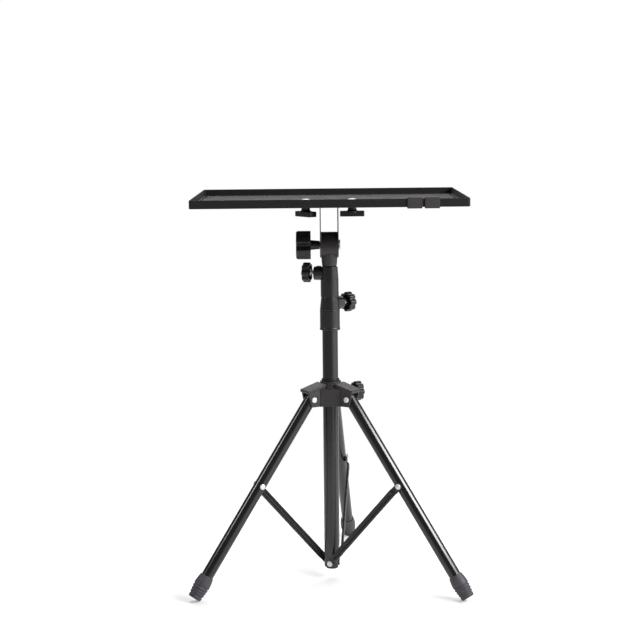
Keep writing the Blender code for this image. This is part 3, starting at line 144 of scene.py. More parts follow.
# Collars, from the axis outwards and from the collar's foot up
SEAM_DEPTH = 0.0004
SEAM_WIDTH = 0.0010
COLLAR_EDGE = 0.0007
COLLAR_BOSS_EDGE = 0.0006
FOOT_BEAD_TOP = 0.0032
FOOT_BEAD_FOOT = 0.0026
FOOT_BEAD_DEPTH = 0.0004
LUG_STOP = (0.0032, 0.0030, 0.0012)
LUG_STOP_REACH = 0.0160
LUG_STOP_RISE = 0.0010
COLLARS = {
    "lower_collar": {
        "body": "main", "radius": 0.0146, "top_radius": 0.0126, "seam": 0.0293, "foot_bead": True,
        "upper_bore": 0.0105, "lower_bore": 0.0119, "clamp_height": 0.0384,
        "boss_radius": 0.0093, "boss_root": 0.0116, "boss_reach": 0.0219, "lug_drop": 0.0,
    },
    "upper_collar": {
        "body": "mid", "radius": 0.0132, "top_radius": 0.0119, "seam": 0.0240, "foot_bead": False,
        "upper_bore": 0.0089, "lower_bore": 0.0104, "clamp_height": 0.0352,
        "boss_radius": 0.0088, "boss_root": 0.0091, "boss_reach": 0.0226, "lug_drop": 0.0022,
    },
}

# Clamps: azimuth, reach of the knob's back and radius of the tube that the screw meets
CLAMPS = {
    "crown_clamp": (25.5, 0.0390, MAIN_RADIUS),
    "lower_clamp": (37.0, 0.0286, MID_RADIUS),
    "upper_clamp": (165.5, 0.0286, POST_RADIUS),
}

# Screws and their knobs; lobes by count, depth, flat share and points in each
SCREW_RADIUS = 0.0030
SCREW_BORE = 0.0033
SCREW_IN_KNOB = 0.0072
THREAD_PITCH = 0.00125
THREAD_DEPTH = THREAD_PITCH * 0.45
THREAD_ROWS_PER_TURN = 8
KNOB_RADIUS = 0.0145
KNOB_THICKNESS = 0.0105
KNOB_HOLLOW = 0.0072
KNOB_EDGE = 0.0011
KNOB_LOBES = (8, 0.0020, 0.25, 16)
KNOB_RIM_INSIDE = 0.0108
KNOB_MOUTH = 0.0013
KNOB_HUB = 0.0050
KNOB_FACE_WALL = 0.003
KNOB_DISH = [(0.0084, 0.002), (0.0080, -0.0006), (0.0076, -0.0008)]

# Crown, from the mast's axis outwards
CROWN_RING_RADIUS = 0.0154
CROWN_RING_HEIGHT = 0.0035
CROWN_PANEL_REACH = 0.0220
CROWN_PANEL_ABOVE_HINGE = 0.0155
CROWN_BORE = 0.0127
CROWN_EDGE = 0.0008
CROWN_CORNER = 0.0012
CROWN_BOSS = [(0.0, 0.030), (0.0075, 0.030), (0.0078, 0.0148), (0.0, 0.0148)]
CROWN_BOSS_EDGE = 0.0009
CROWN_WAY_REACH = 0.060
GROOVE_RADIUS = 0.0007
GROOVE_ASIDE = 0.0145
CHEEK_INSIDE = LEG_RADIUS + 0.0005
CHEEK_OUTSIDE = CHEEK_INSIDE + 0.0025
CHEEK_ROOT = 0.0152
CHEEK_FOOT_REACH = 0.0380
CHEEK_REACH = 0.0418
CHEEK_SHOULDER = 0.0080
CHEEK_CORNER = 0.0010
CHEEK_EDGE = 0.0007
BAND_ROOT = 0.0140
BAND_REACH = 0.0440
BAND_BELOW_RING_TOP = 0.0020
BAND_DROP = 0.0086
BAND_THICKNESS = 0.0048
BAND_OVERHANG = 0.0010
BAND_CORNER = 0.0016
BAND_EDGE = 0.0013
FORK_ROOT = 0.0215
FORK_EDGE = 0.0002
BUSH_LIP_RADIUS = 0.0131
BUSH_RADIUS = 0.0124
BUSH_BORE = 0.0120
BUSH_EDGE = 0.0005

# Head, tilt bolt and tilt knob
HEAD_HALF_WIDTH = 0.0119
HEAD_EDGE = 0.0005
HEAD_SOCKET = 0.0089
HEAD_LINE = 0.0004
HEAD_LINE_BELOW_PIVOT = 0.0040
NECK_LEVELS = 20
NECK_RADIUS = 0.0106
NECK_DEEP = 0.0148
NECK_RISE = 0.0190
NECK_WIDENING = 1.4
NECK_FOOT_EDGE = 0.0006
EAR_THICKNESS = 0.0015
EAR_OUTSIDE = HEAD_HALF_WIDTH + TOUCH_GAP / 3 + EAR_THICKNESS
EAR_EDGE = 0.0002
TILT_BOLT_RADIUS = 0.0040
TILT_BOLT_BORE = 0.0043
TILT_HEAD_RADIUS = 0.0075
TILT_HEAD_CORNER = 0.0008
TILT_HEAD_EDGE = 0.0003
TILT_BOLT_IN_HEAD = 0.0014
TILT_KNOB_BACK = 0.0269
TILT_KNOB_LENGTH = 0.0212
TILT_KNOB_RADIUS = 0.0206
TILT_KNOB_LOBES = (6, 0.0058, 0.35, 24)
TILT_KNOB_BORE = 0.0103
TILT_KNOB_DISH = [(0.0106, 0.002), (0.0100, -0.0010), (0.0092, -0.0014)]
TILT_STEM_EDGE = 0.0008

# Bracket and tray; slots, like bars and stops, by half sizes and corner
BRACKET_SHEET = 0.0015
BRACKET_CORNER = 0.0060
BRACKET_EDGE = 0.0003
TRAY_SHEET = 0.0012
TRAY_FOLD = 0.0011
TRAY_FOLD_WIDTH = 0.0090
TRAY_BEND = 0.0014
TRAY_HEM = 0.0004
TRAY_CORNER = 0.0030
TRAY_LEAST_CORNER = 0.0004
TRAY_SLOT = (0.00155, 0.0740, 0.0014)
TRAY_SLOT_FROM_RIM = 0.0042
TRAY_SLOT_BACK = 0.0500

# Tray bolts, their knobs and the clips on the rim
TRAY_BOLT_RADIUS = 0.0030
TRAY_BOLT_DOME = 0.0018
T_KNOB_TURNS = {"left": -52.0, "right": 0.0}
T_HUB_RADIUS = 0.0063
T_HUB_LENGTH = 0.0128
T_HUB_FLARE = 0.0029
T_BAR = (0.0176, 0.0070, 0.0022)
T_BAR_HEIGHT = 0.0078
T_BAR_EDGE = 0.0009
CLIP_WALL = 0.0015
CLIP_LIP = 0.0070
CLIP_HOOK = 0.0063
CLIP_CORNER = 0.0006
CLIP_EDGE = 0.0005

# Camera, fitted to the photograph
CAMERA_PLACE = (-0.0115, -2.2134, 0.6958)
CAMERA_PITCH = 8.05
CAMERA_ROLL = 0.58
PICTURE_SIZE = 640
FOCAL_PIXELS = 1498.8
SENSOR = 36.0

# Floor: its half size, paint, glow and the distances over which it fades for the camera and for other rays
FLOOR_SIZE = 6.0
FLOOR_WHITE = 0.90
FLOOR_GLOW = 0.30
FLOOR_FADE_SEEN = (0.30, 0.75)
FLOOR_FADE_UNSEEN = (0.55, 1.40)

# Room around the stand: levels, and the spans of direction over which they change
ROOM_LOW = 0.33
ROOM_HIGH = 0.15
ROOM_HEIGHT_SPAN = (-0.25, 0.30)
ROOM_RIGHT = 1.00
ROOM_RIGHT_SPAN = (0.55, 1.0)
ROOM_RIGHT_TOWARD = (0.966, -0.259, 0.0)
ROOM_REAR = 0.85
ROOM_REAR_SPAN = (0.74, 1.0)
ROOM_BELOW = 0.50
ROOM_BELOW_SPAN = (-0.70, -0.30)
ROOM_TINT = (0.97, 0.97, 1.0, 1.0)

# Lamps: place, width, height and radiance, all aimed at one point
LAMP_AIM = (0.0, 0.0, 0.30)
LAMPS = {
    "key_right": ((1.33, -0.74, 1.25), 1.3, 0.42, 16.0),
    "fill_left": ((-1.37, -0.51, 1.22), 0.30, 0.40, 11.0),
    "top_rear": ((0.0, 1.0, 2.0), 1.7, 1.2, 4.0),
}


# Places read from the frame

def middle(node):
    low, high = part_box(node)
    return (low + high) / 2


MAST = middle("mid_tube")
MAST.z = 0.0
MAIN_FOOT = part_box("main_tube")[0].z
MAIN_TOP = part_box("main_tube")[1].z
HINGE_HEIGHT = joints["leg_fold_left"]["pos_m"][2]
CROWN_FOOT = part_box("crown")[0].z
CROWN_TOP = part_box("crown")[1].z
CROWN_PANEL_TOP = HINGE_HEIGHT + CROWN_PANEL_ABOVE_HINGE
HEAD_FOOT = joints["head_swivel"]["pos_m"][2]
PIVOT = joints["tray_tilt"]["pos_m"][2]
TRAY_LOW, TRAY_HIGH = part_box("tray")
TRAY_MIDDLE = middle("tray")
BOLT_SPACING = middle("tray_bolt_right").x - middle("tray_bolt_left").x
STRUT_FACE = max(TUBE_FLAT_REACH, LEG_RADIUS) + TOUCH_GAP
STRUT_SET_OUT = MAIN_RADIUS + TOUCH_GAP - STRUT_FACE


def turned(angle, axis='Z'):
    return Matrix.Rotation(radians(angle), 4, axis)


def shifted(x=0.0, y=0.0, z=0.0):
    return Matrix.Translation((x, y, z))


ACROSS = turned(90.0, 'Y')
TO_LEFT = turned(-90.0, 'Y')
ALONG = turned(90.0, 'X')
SIDE_ON = turned(90.0) @ turned(90.0, 'X')


def at_mast(height=0.0, azimuth=0.0, reach=0.0):
    """A frame on the mast's axis, turned to the azimuth and moved outwards."""
    return shifted(MAST.x, MAST.y, height) @ turned(azimuth) @ shifted(reach)


def outward(height, azimuth):
    """A frame on the mast's axis whose Z points away from it."""
    return at_mast(height, azimuth) @ ACROSS


def at_joint(name, azimuth, lean=0.0):
    """A frame on a joint's axis, turned to the azimuth and leaned outwards from the vertical."""
    return shifted(*joints[name]["pos_m"]) @ turned(azimuth) @ turned(lean, 'Y')


# Outlines

def angles_round(count):
    return [2 * pi * i / count for i in range(count)]


def quarter_turn(steps):
    return [pi / 2 * k / steps for k in range(steps + 1)]


def smooth(t):
    t = min(1.0, max(0.0, t))
    return t * t * (3 - 2 * t)


def rounded(points, radius, closed=True, steps=4):
    """The same outline with each corner rounded, as far as its sides allow."""
    result = []
    count = len(points)
    for i, point in enumerate(points):
        if not closed and i in (0, count - 1):
            result.append(tuple(point))
            continue
        corner = Vector(point)
        before = Vector(points[i - 1]) - corner
        after = Vector(points[(i + 1) % count]) - corner
        angle = before.angle(after, pi)
        if angle > radians(NEARLY_STRAIGHT) or min(before.length, after.length) < radius / 20:
            result.append(tuple(point))
            continue
        reach = min(radius / tan(angle / 2), before.length * 0.45, after.length * 0.45)
        start = corner + before.normalized() * reach
        end = corner + after.normalized() * reach
        for step in range(steps + 1):
            t = step / steps
            result.append(tuple(start * (1 - t) ** 2 + corner * 2 * t * (1 - t) + end * t * t))
    return result


def inset(outline, distance):
    """The outline moved inwards; it runs anticlockwise."""
    result = []
    count = len(outline)
    for i in range(count):
        before = Vector(outline[i - 1])
        point = Vector(outline[i])
        after = Vector(outline[(i + 1) % count])
        first = (point - before).normalized()
        second = (after - point).normalized()
        normal = Vector((-(first.y + second.y), first.x + second.x)).normalized()
        stretch = max(0.5, normal.dot(Vector((-first.y, first.x))))
        result.append(tuple(point + normal * distance / stretch))
    return result


def arc(centre, radius, start, end, count):
    step = (end - start) / (count - 1)
    angles = [radians(start + step * i) for i in range(count)]
    return [(centre[0] + radius * cos(a), centre[1] + radius * sin(a)) for a in angles]


def rounded_rectangle(half_x, half_y, corner, count=7):
    points = []
    for sign_x, sign_y, start in ((1, 1, 0.0), (-1, 1, 90.0), (-1, -1, 180.0), (1, -1, 270.0)):
        centre = (sign_x * (half_x - corner), sign_y * (half_y - corner))
        points += arc(centre, corner, start, start + 90.0, count)
    return points


def lobed(radius, lobes):
    """A round outline with hollows between its lobes; the flat share widens the lobes' tips."""
    count, depth, flat, points_in_each = lobes
    outline = []
    for angle in angles_round(count * points_in_each):
        wave = (1 - cos(count * angle)) / 2
        reach = radius - depth * max(0.0, (wave - flat) / (1 - flat))
        outline.append((reach * cos(angle), reach * sin(angle)))
    return outline


# Solids

def mesh_of(name, points, faces):
    """A closed mesh with its faces turned outwards."""
    mesh = bpy.data.meshes.new(name)
    mesh.from_pydata(points, [], faces)
    shape = bmesh.new()
    shape.from_mesh(mesh)
    bmesh.ops.remove_doubles(shape, verts=shape.verts, dist=MERGE_DISTANCE)
    bmesh.ops.recalc_face_normals(shape, faces=shape.faces)
    if shape.calc_volume(signed=True) < 0:
        bmesh.ops.reverse_faces(shape, faces=shape.faces)
    shape.to_mesh(mesh)
    shape.free()
    return mesh


def ring(height, reach_at, sides=SIDES):
    """A row of points round the Z axis, each as far out as its angle says."""
    row = []
    for angle in angles_round(sides):
        reach = reach_at(angle)
        row.append((reach * cos(angle), reach * sin(angle), height))
    return row


def loft(name, rows, endless=False):
    """A solid through rows of as many points each, capped at both ends or closed on itself."""
    count = len(rows[0])
    last = (len(rows) - 1) * count
    starts = [(first, first + count) for first in range(0, last, count)]
    if endless:
        starts.append((last, 0))
    faces = []
    for first, second in starts:
        for i in range(count):
            j = (i + 1) % count
            faces.append((first + i, first + j, second + j, second + i))
    if not endless:
        faces.append(tuple(reversed(range(count))))
        faces.append(tuple(range(last, last + count)))
    return mesh_of(name, [point for row in rows for point in row], faces)


def stacked(name, layers):
    """A solid through outlines of as many points each, every one with its height."""
    return loft(name, [[(x, y, height) for x, y in outline] for height, outline in layers])


def edge_levels(low, high, edge, steps=3):
    """Heights and insets of a solid with rounded top and bottom edges."""
    curve = [(edge * (1 - cos(a)), edge * (1 - sin(a))) for a in quarter_turn(steps)]
    upwards = [(low + rise, shift) for rise, shift in curve]
    return upwards + [(high - rise, shift) for rise, shift in reversed(curve)]


def prism(name, outline, low, high, edge):
    """A solid of one outline with rounded top and bottom edges."""
    return stacked(name, [(z, inset(outline, shift)) for z, shift in edge_levels(low, high, edge)])


def lathe(name, profile, sides=SIDES, endless=False):
    """A turned shape from (radius, height) points down its outer side."""
    points, rows = [], []
    for radius, height in profile:
        start = len(points)
        if radius < TUBE_EDGE / 10:
            points.append((0.0, 0.0, height))
            rows.append([start] * sides)
        else:
            points += ring(height, lambda angle: radius, sides)
            rows.append(range(start, start + sides))
    pairs = list(zip(rows, rows[1:]))
    if endless:
        pairs.append((rows[-1], rows[0]))
    faces = []
    for upper, lower in pairs:
        for i in range(sides):
            j = (i + 1) % sides
            face = tuple(dict.fromkeys((upper[i], lower[i], lower[j], upper[j])))
            if len(face) > 2:
                faces.append(face)
    return mesh_of(name, points, faces)


def turned_solid(name, profile, edge, sides=SIDES, steps=4):
    """A turned shape whose profile starts and ends on the axis, its corners rounded."""
    return lathe(name, rounded(profile, edge, closed=False, steps=steps), sides)


def tube(name, outer, inner, foot, top):
    profile = [(outer, top), (outer, foot), (inner, foot), (inner, top)]
    return lathe(name, rounded(profile, TUBE_EDGE), endless=True)


def rod(name, radius, foot, top, sides=SMALL_SIDES):
    return turned_solid(name, [(0.0, top), (radius, top), (radius, foot), (0.0, foot)], TUBE_EDGE, sides)


def moved(mesh, matrix):
    mesh.transform(matrix)
    return mesh


def new_object(name, data):
    obj = bpy.data.objects.new(name, data)
    bpy.context.scene.collection.objects.link(obj)
    return obj


def boolean(mesh, tools, operation):
    """Boolean of a mesh with others, all in the same frame."""
    obj = new_object(mesh.name, mesh)
    helpers = []
    for tool in tools:
        helper = new_object(tool.name, tool)
        modifier = obj.modifiers.new("boolean", 'BOOLEAN')
        modifier.operation = operation
        modifier.solver = 'EXACT'
        modifier.object = helper
        helpers.append(helper)
    graph = bpy.context.evaluated_depsgraph_get()
    result = bpy.data.meshes.new_from_object(obj.evaluated_get(graph), depsgraph=graph)
    for used in [obj] + helpers:
        bpy.data.objects.remove(used, do_unlink=True)
    return result


def joined(mesh, *tools):
    return boolean(mesh, tools, 'UNION')


def cut(mesh, *tools):
    return boolean(mesh, tools, 'DIFFERENCE')


# Materials

def linear(channel):
    value = channel / 255
    return value / 12.92 if value <= 0.04045 else ((value + 0.055) / 1.055) ** 2.4


def add_node(tree, kind, sockets=(), output=0, **settings):
    """An output of a new node, whose sockets take constants or links from other outputs."""
    node = tree.nodes.new('ShaderNode' + kind)
    for name, value in settings.items():
        setattr(node, name, value)
    connect(tree, node, sockets)
    return node.outputs[output]


def connect(tree, node, sockets):
    for socket, value in sockets:
        if isinstance(value, bpy.types.NodeSocket):
            tree.links.new(value, node.inputs[socket])
        else:
            node.inputs[socket].default_value = value


def surface(name, rgb, roughness, metallic=0.0, spread=0.15, mottle=40.0, grain=1500.0, bump=0.1,
            depth=0.0001, polish=0.15, specular=0.5):
    """A Principled surface: mottled colour, uneven gloss and a fine grain in its normal."""
    material = bpy.data.materials.new(name)
    material.use_nodes = True
    tree = material.node_tree
    colour = [linear(channel) for channel in rgb]
    place = add_node(tree, 'TexCoord', output="Object")
    patches = add_node(tree, 'TexNoise', [("Scale", mottle), ("Detail", 4.0), ("Vector", place)], "Fac")
    tint = add_node(tree, 'ValToRGB', [("Fac", patches)], "Color")
    for element, position, share in zip(tint.node.color_ramp.elements, (0.3, 0.7), (1 - spread, 1 + spread)):
        element.position = position
        element.color = [c * share for c in colour] + [1.0]
    gloss = add_node(tree, 'MapRange', [
        ("Value", patches), ("From Min", 0.3), ("From Max", 0.7),
        ("To Min", roughness * (1 - polish)), ("To Max", roughness * (1 + polish))], "Result")
    fine = add_node(tree, 'TexNoise', [("Scale", grain), ("Detail", 3.0), ("Vector", place)], "Fac")
    relief = add_node(tree, 'Bump', [("Strength", bump), ("Distance", depth), ("Height", fine)], "Normal")
    connect(tree, tree.nodes["Principled BSDF"], [
        ("Base Color", tint), ("Roughness", gloss), ("Normal", relief),
        ("Metallic", metallic), ("Specular IOR Level", specular)])
    material.diffuse_color = colour + [1.0]
    return material


tube_paint = surface("satin_black_paint", (19, 17, 17), 0.18, grain=900.0, bump=0.008,
                     polish=0.06, specular=0.8)
tray_paint = surface("textured_black_paint", (21, 18, 19), 0.66, grain=1400.0, bump=0.12,
                     specular=0.4)
strut_paint = surface("pressed_black_paint", (43, 38, 40), 0.27, grain=900.0, bump=0.05)
moulding = surface("moulded_black_plastic", (56, 53, 52), 0.38, grain=2200.0, bump=0.30,
                   depth=0.00015)
collar_plastic = surface("collar_black_plastic", (23, 21, 21), 0.25, grain=2200.0, bump=0.12,
                         specular=0.8)
knob_plastic = surface("knob_black_plastic", (40, 36, 37), 0.28, grain=2600.0)
clip_plastic = surface("clip_grey_plastic", (58, 54, 55), 0.60, grain=1800.0, bump=0.3,
                       depth=0.00015)
boot_rubber = surface("grey_rubber", (74, 71, 77), 0.50, mottle=120.0, grain=1200.0, bump=0.25,
                      depth=0.0002)
bush_plastic = surface("bush_black_plastic", (20, 18, 18), 0.40, grain=2000.0)
# Zinc for rivets, screws and bolts: pale zinc plus painted reflection. The near-white, mostly non-metallic
# colour stands in for the bright surroundings they reflect.
zinc = surface("pale_zinc_painted_reflection", (250, 248, 246), 0.28, metallic=0.20, spread=0.06, mottle=300.0,
               grain=1800.0, bump=0.06, depth=0.00005, polish=0.3)


def piece(name, node, mesh, place, body, material):
    """A finished piece in its place, riding on its body and standing for its CAD node."""
    mesh.name = name
    mesh.transform(place)
    mesh.shade_smooth()
    mesh.set_sharp_from_angle(angle=radians(SHARP_ABOVE))
    mesh.materials.clear()
    mesh.materials.append(material)
    obj = new_object(name, mesh)
    normals = obj.modifiers.new("normals", 'WEIGHTED_NORMAL')
    normals.keep_sharp = True
    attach(obj, body)
    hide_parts(node)


# Rivets

def rivet(name, radius, seat, end=None):
    """A low domed head with a dimple, on a shank to the end or to a like head on the other side."""
    top = seat + RIVET_HEAD_HEIGHT
    profile = [(0.0, top - 0.0006), (RIVET_DIMPLE * 0.7, top - 0.0005), (RIVET_DIMPLE, top - 0.0001)]
    for angle in reversed(quarter_turn(RIVET_DOME_STEPS)[:-1]):
        reach = RIVET_DIMPLE + (radius - RIVET_DIMPLE) * cos(angle)
        profile.append((reach, seat + RIVET_DOME * sin(angle)))
    profile += [(radius, seat), (RIVET_RADIUS, seat)]
    if end is None:
        profile += [(reach, -height) for reach, height in reversed(profile)]
    else:
        profile += [(RIVET_RADIUS, end), (0.0, end)]
    return lathe(name, profile, SMALL_SIDES)


# Legs, boots and struts

def boot_radius(below_mouth):
    if below_mouth < BOOT_WAIST_BELOW_MOUTH:
        rise = sin(pi / 2 * below_mouth / BOOT_WAIST_BELOW_MOUTH)
        return BOOT_MOUTH_RADIUS + (BOOT_WAIST_RADIUS - BOOT_MOUTH_RADIUS) * rise
    past_waist = (below_mouth - BOOT_WAIST_BELOW_MOUTH) / (BOOT_LENGTH - BOOT_WAIST_BELOW_MOUTH)
    fall = 1 - cos(pi / 2 * past_waist)
    return BOOT_WAIST_RADIUS - (BOOT_WAIST_RADIUS - BOOT_END_RADIUS) * fall


def rib_groove(below_mouth):
    """How deep the grooves between the ribs are at a place, from 0 to 1."""
    pitch = (BOOT_RIBS_BELOW_MOUTH - BOOT_WAIST_BELOW_MOUTH) / BOOT_RIBS
    place = (below_mouth - BOOT_WAIST_BELOW_MOUTH) / pitch
    if not 0 < place < BOOT_RIBS:
        return 0.0
    wave = (1 - cos(2 * pi * place)) / 2
    return max(0.0, (wave - BOOT_RIB_SHARE) / (1 - BOOT_RIB_SHARE)) ** BOOT_GROOVE_POWER


def boot(name):
    mouth = BOOT_LENGTH - LEG_LENGTH
    end = -LEG_LENGTH
    bore = LEG_RADIUS + TOUCH_GAP / 2
    profile = [(0.0, end + BOOT_FLOOR), (bore, end + BOOT_FLOOR), (bore, mouth - BOOT_LIP),
               (bore + BOOT_LIP, mouth), (BOOT_MOUTH_RADIUS - BOOT_MOUTH_EDGE, mouth)]
    for step in range(1, BOOT_STEPS):
        depth = BOOT_LENGTH * step / BOOT_STEPS
        if depth > BOOT_LENGTH - BOOT_END_EDGE:
            break
        profile.append((boot_radius(depth) - BOOT_RIB_DEPTH * rib_groove(depth), mouth - depth))
    profile += arc((BOOT_END_RADIUS - BOOT_END_EDGE, end + BOOT_END_EDGE), BOOT_END_EDGE, 0.0, -90.0, 6)
    tread = BOOT_END_RADIUS * BOOT_TREAD_SHARE
    tread_inside = tread - BOOT_TREAD_WIDTH
    profile += [(tread + BOOT_TREAD_SLOPE, end), (tread, end + BOOT_TREAD_DEPTH),
                (tread_inside, end + BOOT_TREAD_DEPTH), (tread_inside - BOOT_TREAD_SLOPE, end), (0.0, end)]
    return lathe(name, profile)


def strut(name, length):
    """A pressed channel: flat round-ended tabs, joggled out to a body with a rolled groove."""
    half = STRUT_WIDTH / 2
    wall = STRUT_BODY - STRUT_PLATE

    def risen(place, start):
        """How far a joggle has risen at a place, past its start from the nearer end."""
        return smooth((min(place, length - place) - start) / STRUT_JOGGLE)

    ends = quarter_turn(STRUT_END_STEPS)
    stations = [-half * cos(angle) for angle in ends[:-1]]
    stations += [length * k / STRUT_STEPS for k in range(STRUT_STEPS + 1)]
    stations += [length + half * sin(angle) for angle in ends[1:]]
    rows = []
    for place in stations:
        beyond = max(0.0, -place, place - length)
        width = max(sqrt(max(0.0, half * half - beyond * beyond)), half / 60)
        share = risen(place, STRUT_TAB)
        deep = risen(place, STRUT_TAB + STRUT_JOGGLE)
        inner = STRUT_FACE + STRUT_SET_OUT * share
        upper, lower = [], []
        for column in range(STRUT_COLUMNS + 1):
            x = -width + 2 * width * column / STRUT_COLUMNS
            groove = exp(-(x / (STRUT_GROOVE_WIDTH / 2)) ** 4) * STRUT_GROOVE_DEPTH * deep
            roll = STRUT_ROLL_DEPTH * smooth((abs(x) - (width - STRUT_ROLL_WIDTH)) / STRUT_ROLL_WIDTH)
            flange = smooth((abs(x) - (half - STRUT_FLANGE)) / STRUT_FLANGE_BEND)
            upper.append((x, place, inner + STRUT_PLATE + wall * share - groove - roll))
            lower.append((x, place, inner + max(0.0, wall * share * (1 - flange) - groove)))
        rows.append(upper + lower[::-1])
    return loft(name, rows)


def build_legs():
    for side, azimuth in LEG_AZIMUTHS.items():
        leg, boot_node, strut_node = "leg_" + side, "boot_" + side, "strut_" + side
        hinge = Vector(joints["leg_fold_" + side]["pos_m"])
        base = Vector(joints["strut_fold_" + side]["pos_m"])
        leg_frame = at_joint("leg_fold_" + side, azimuth, -LEG_SPREAD)
        pivot = hinge + leg_frame.to_3x3() @ Vector((0.0, 0.0, -1.0)) * STRUT_ON_LEG
        run = pivot - base
        lean = degrees(atan2(hypot(run.x, run.y), run.z))
        strut_frame = at_joint("strut_fold_" + side, azimuth, lean) @ ALONG

        leg_foot = BOOT_FLOOR + TOUCH_GAP - LEG_LENGTH
        leg_mesh = tube(leg, LEG_RADIUS, LEG_RADIUS - LEG_WALL, leg_foot, LEG_TOP_OVERRUN)
        piece("painted_" + leg, leg, leg_mesh, leg_frame, leg, tube_paint)
        piece("ribbed_" + boot_node, boot_node, boot(boot_node), leg_frame, leg, boot_rubber)
        strut_mesh = strut(strut_node, run.length)
        piece("pressed_" + strut_node, strut_node, strut_mesh, strut_frame, strut_node, strut_paint)

        seat = STRUT_FACE + STRUT_PLATE + TOUCH_GAP / 3
        rivets = [
            ("strut_rivet_", STRUT_RIVET_HEAD, seat, LEG_RADIUS + TOUCH_GAP,
             strut_frame @ shifted(y=run.length), strut_node),
            ("leg_rivet_", STRUT_RIVET_HEAD, LEG_RADIUS + TOUCH_GAP / 3, -LEG_RADIUS,
             shifted(*pivot) @ turned(azimuth) @ turned(-90.0, 'X'), leg),
            ("base_rivet_", BASE_RIVET_HEAD, seat, TUBE_FOOT_BORE + TOUCH_GAP,
             at_joint("strut_fold_" + side, azimuth) @ ALONG, "main"),
            ("hinge_rivet_", HINGE_RIVET_HEAD, CHEEK_OUTSIDE + TOUCH_GAP / 3, None,
             at_joint("leg_fold_" + side, azimuth) @ ALONG, "crown"),
        ]
        for kind, head, rivet_seat, end, place, body in rivets:
            node = kind + side
            piece("zinc_" + node, node, rivet(node, head, rivet_seat, end), place, body, zinc)


# Mast tubes

def build_main_tube():
    """The main tube, pinched to three flats at its foot."""
    flat_top = MAIN_FOOT + TUBE_FLAT_HEIGHT
    runout_top = flat_top + TUBE_FLAT_RUNOUT

    def row(height, shift):
        share = min(1.0, max(0.0, (height - flat_top) / TUBE_FLAT_RUNOUT))
        flat = TUBE_FLAT_REACH + (MAIN_RADIUS + TOUCH_GAP - TUBE_FLAT_REACH) * share ** TUBE_RUNOUT_POWER

        def reach_at(angle):
            reach = MAIN_RADIUS
            for azimuth in LEG_AZIMUTHS.values():
                facing = cos(angle - radians(azimuth - 90.0))
                if facing > 0:
                    reach = min(reach, flat / facing)
            return reach - shift
        return ring(height, reach_at)

    foot = MAIN_FOOT + TUBE_FOOT_EDGE
    levels = [(MAIN_FOOT, TUBE_FOOT_EDGE), (MAIN_FOOT + TUBE_FOOT_EDGE / 3, TUBE_FOOT_EDGE / 3), (foot, 0.0)]
    levels += [(foot + TUBE_FLAT_HEIGHT * k / 6, 0.0) for k in range(1, 7)]
    levels += [(flat_top + TUBE_FLAT_RUNOUT * k / 24, 0.0) for k in range(1, 26)]
    levels += [(MAIN_TOP - TUBE_EDGE, 0.0), (MAIN_TOP, TUBE_EDGE)]
    rows = [row(height, shift) for height, shift in levels]
    bore = MAIN_RADIUS - MAIN_WALL
    for radius, height in ((bore, MAIN_TOP), (bore, runout_top + 0.002),
                           (TUBE_FOOT_BORE, runout_top), (TUBE_FOOT_BORE, MAIN_FOOT)):
        rows.append(ring(height, lambda angle: radius))
    mesh = loft("main_tube", rows, endless=True)
    piece("painted_main_tube", "main_tube", mesh, at_mast(), "main", tube_paint)



def build_inner_tubes():
    for node, body, radius, wall in (("mid_tube", "mid", MID_RADIUS, MID_WALL),
                                     ("head_post", "post", POST_RADIUS, POST_WALL)):
        low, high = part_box(node)
        mesh = tube(node, radius, radius - wall, low.z, high.z)
        piece("painted_" + node, node, mesh, at_mast(), body, tube_paint)
        cap = node + "_cap"
        low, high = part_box(cap)
        spigot = radius - wall - TOUCH_GAP
        profile = [(0.0, high.z), (spigot, high.z), (spigot, low.z + CAP_FLANGE), (radius, low.z + CAP_FLANGE),
                   (radius, low.z), (0.0, low.z)]
        mesh = turned_solid(cap, profile, TUBE_EDGE, SMALL_SIDES)
        piece("moulded_" + cap, cap, mesh, at_mast(), body, bush_plastic)


def build_plug():
    low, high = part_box("tube_plug")
    plug = TUBE_FOOT_BORE - TOUCH_GAP
    lip_top = MAIN_FOOT - TOUCH_GAP
    profile = [(0.0, high.z), (plug, high.z), (plug, lip_top), (TUBE_FLAT_REACH, lip_top),
               (TUBE_FLAT_REACH - PLUG_TAPER, low.z), (0.0, low.z)]
    mesh = turned_solid("tube_plug", profile, PLUG_EDGE)
    piece("moulded_tube_plug", "tube_plug", mesh, at_mast(), "main", bush_plastic)


# Collars

def seam_points(radius, height):
    half = SEAM_WIDTH / 2
    return [(radius, height + half), (radius - SEAM_DEPTH, height + half / 3),
            (radius - SEAM_DEPTH, height - half / 3), (radius, height - half)]


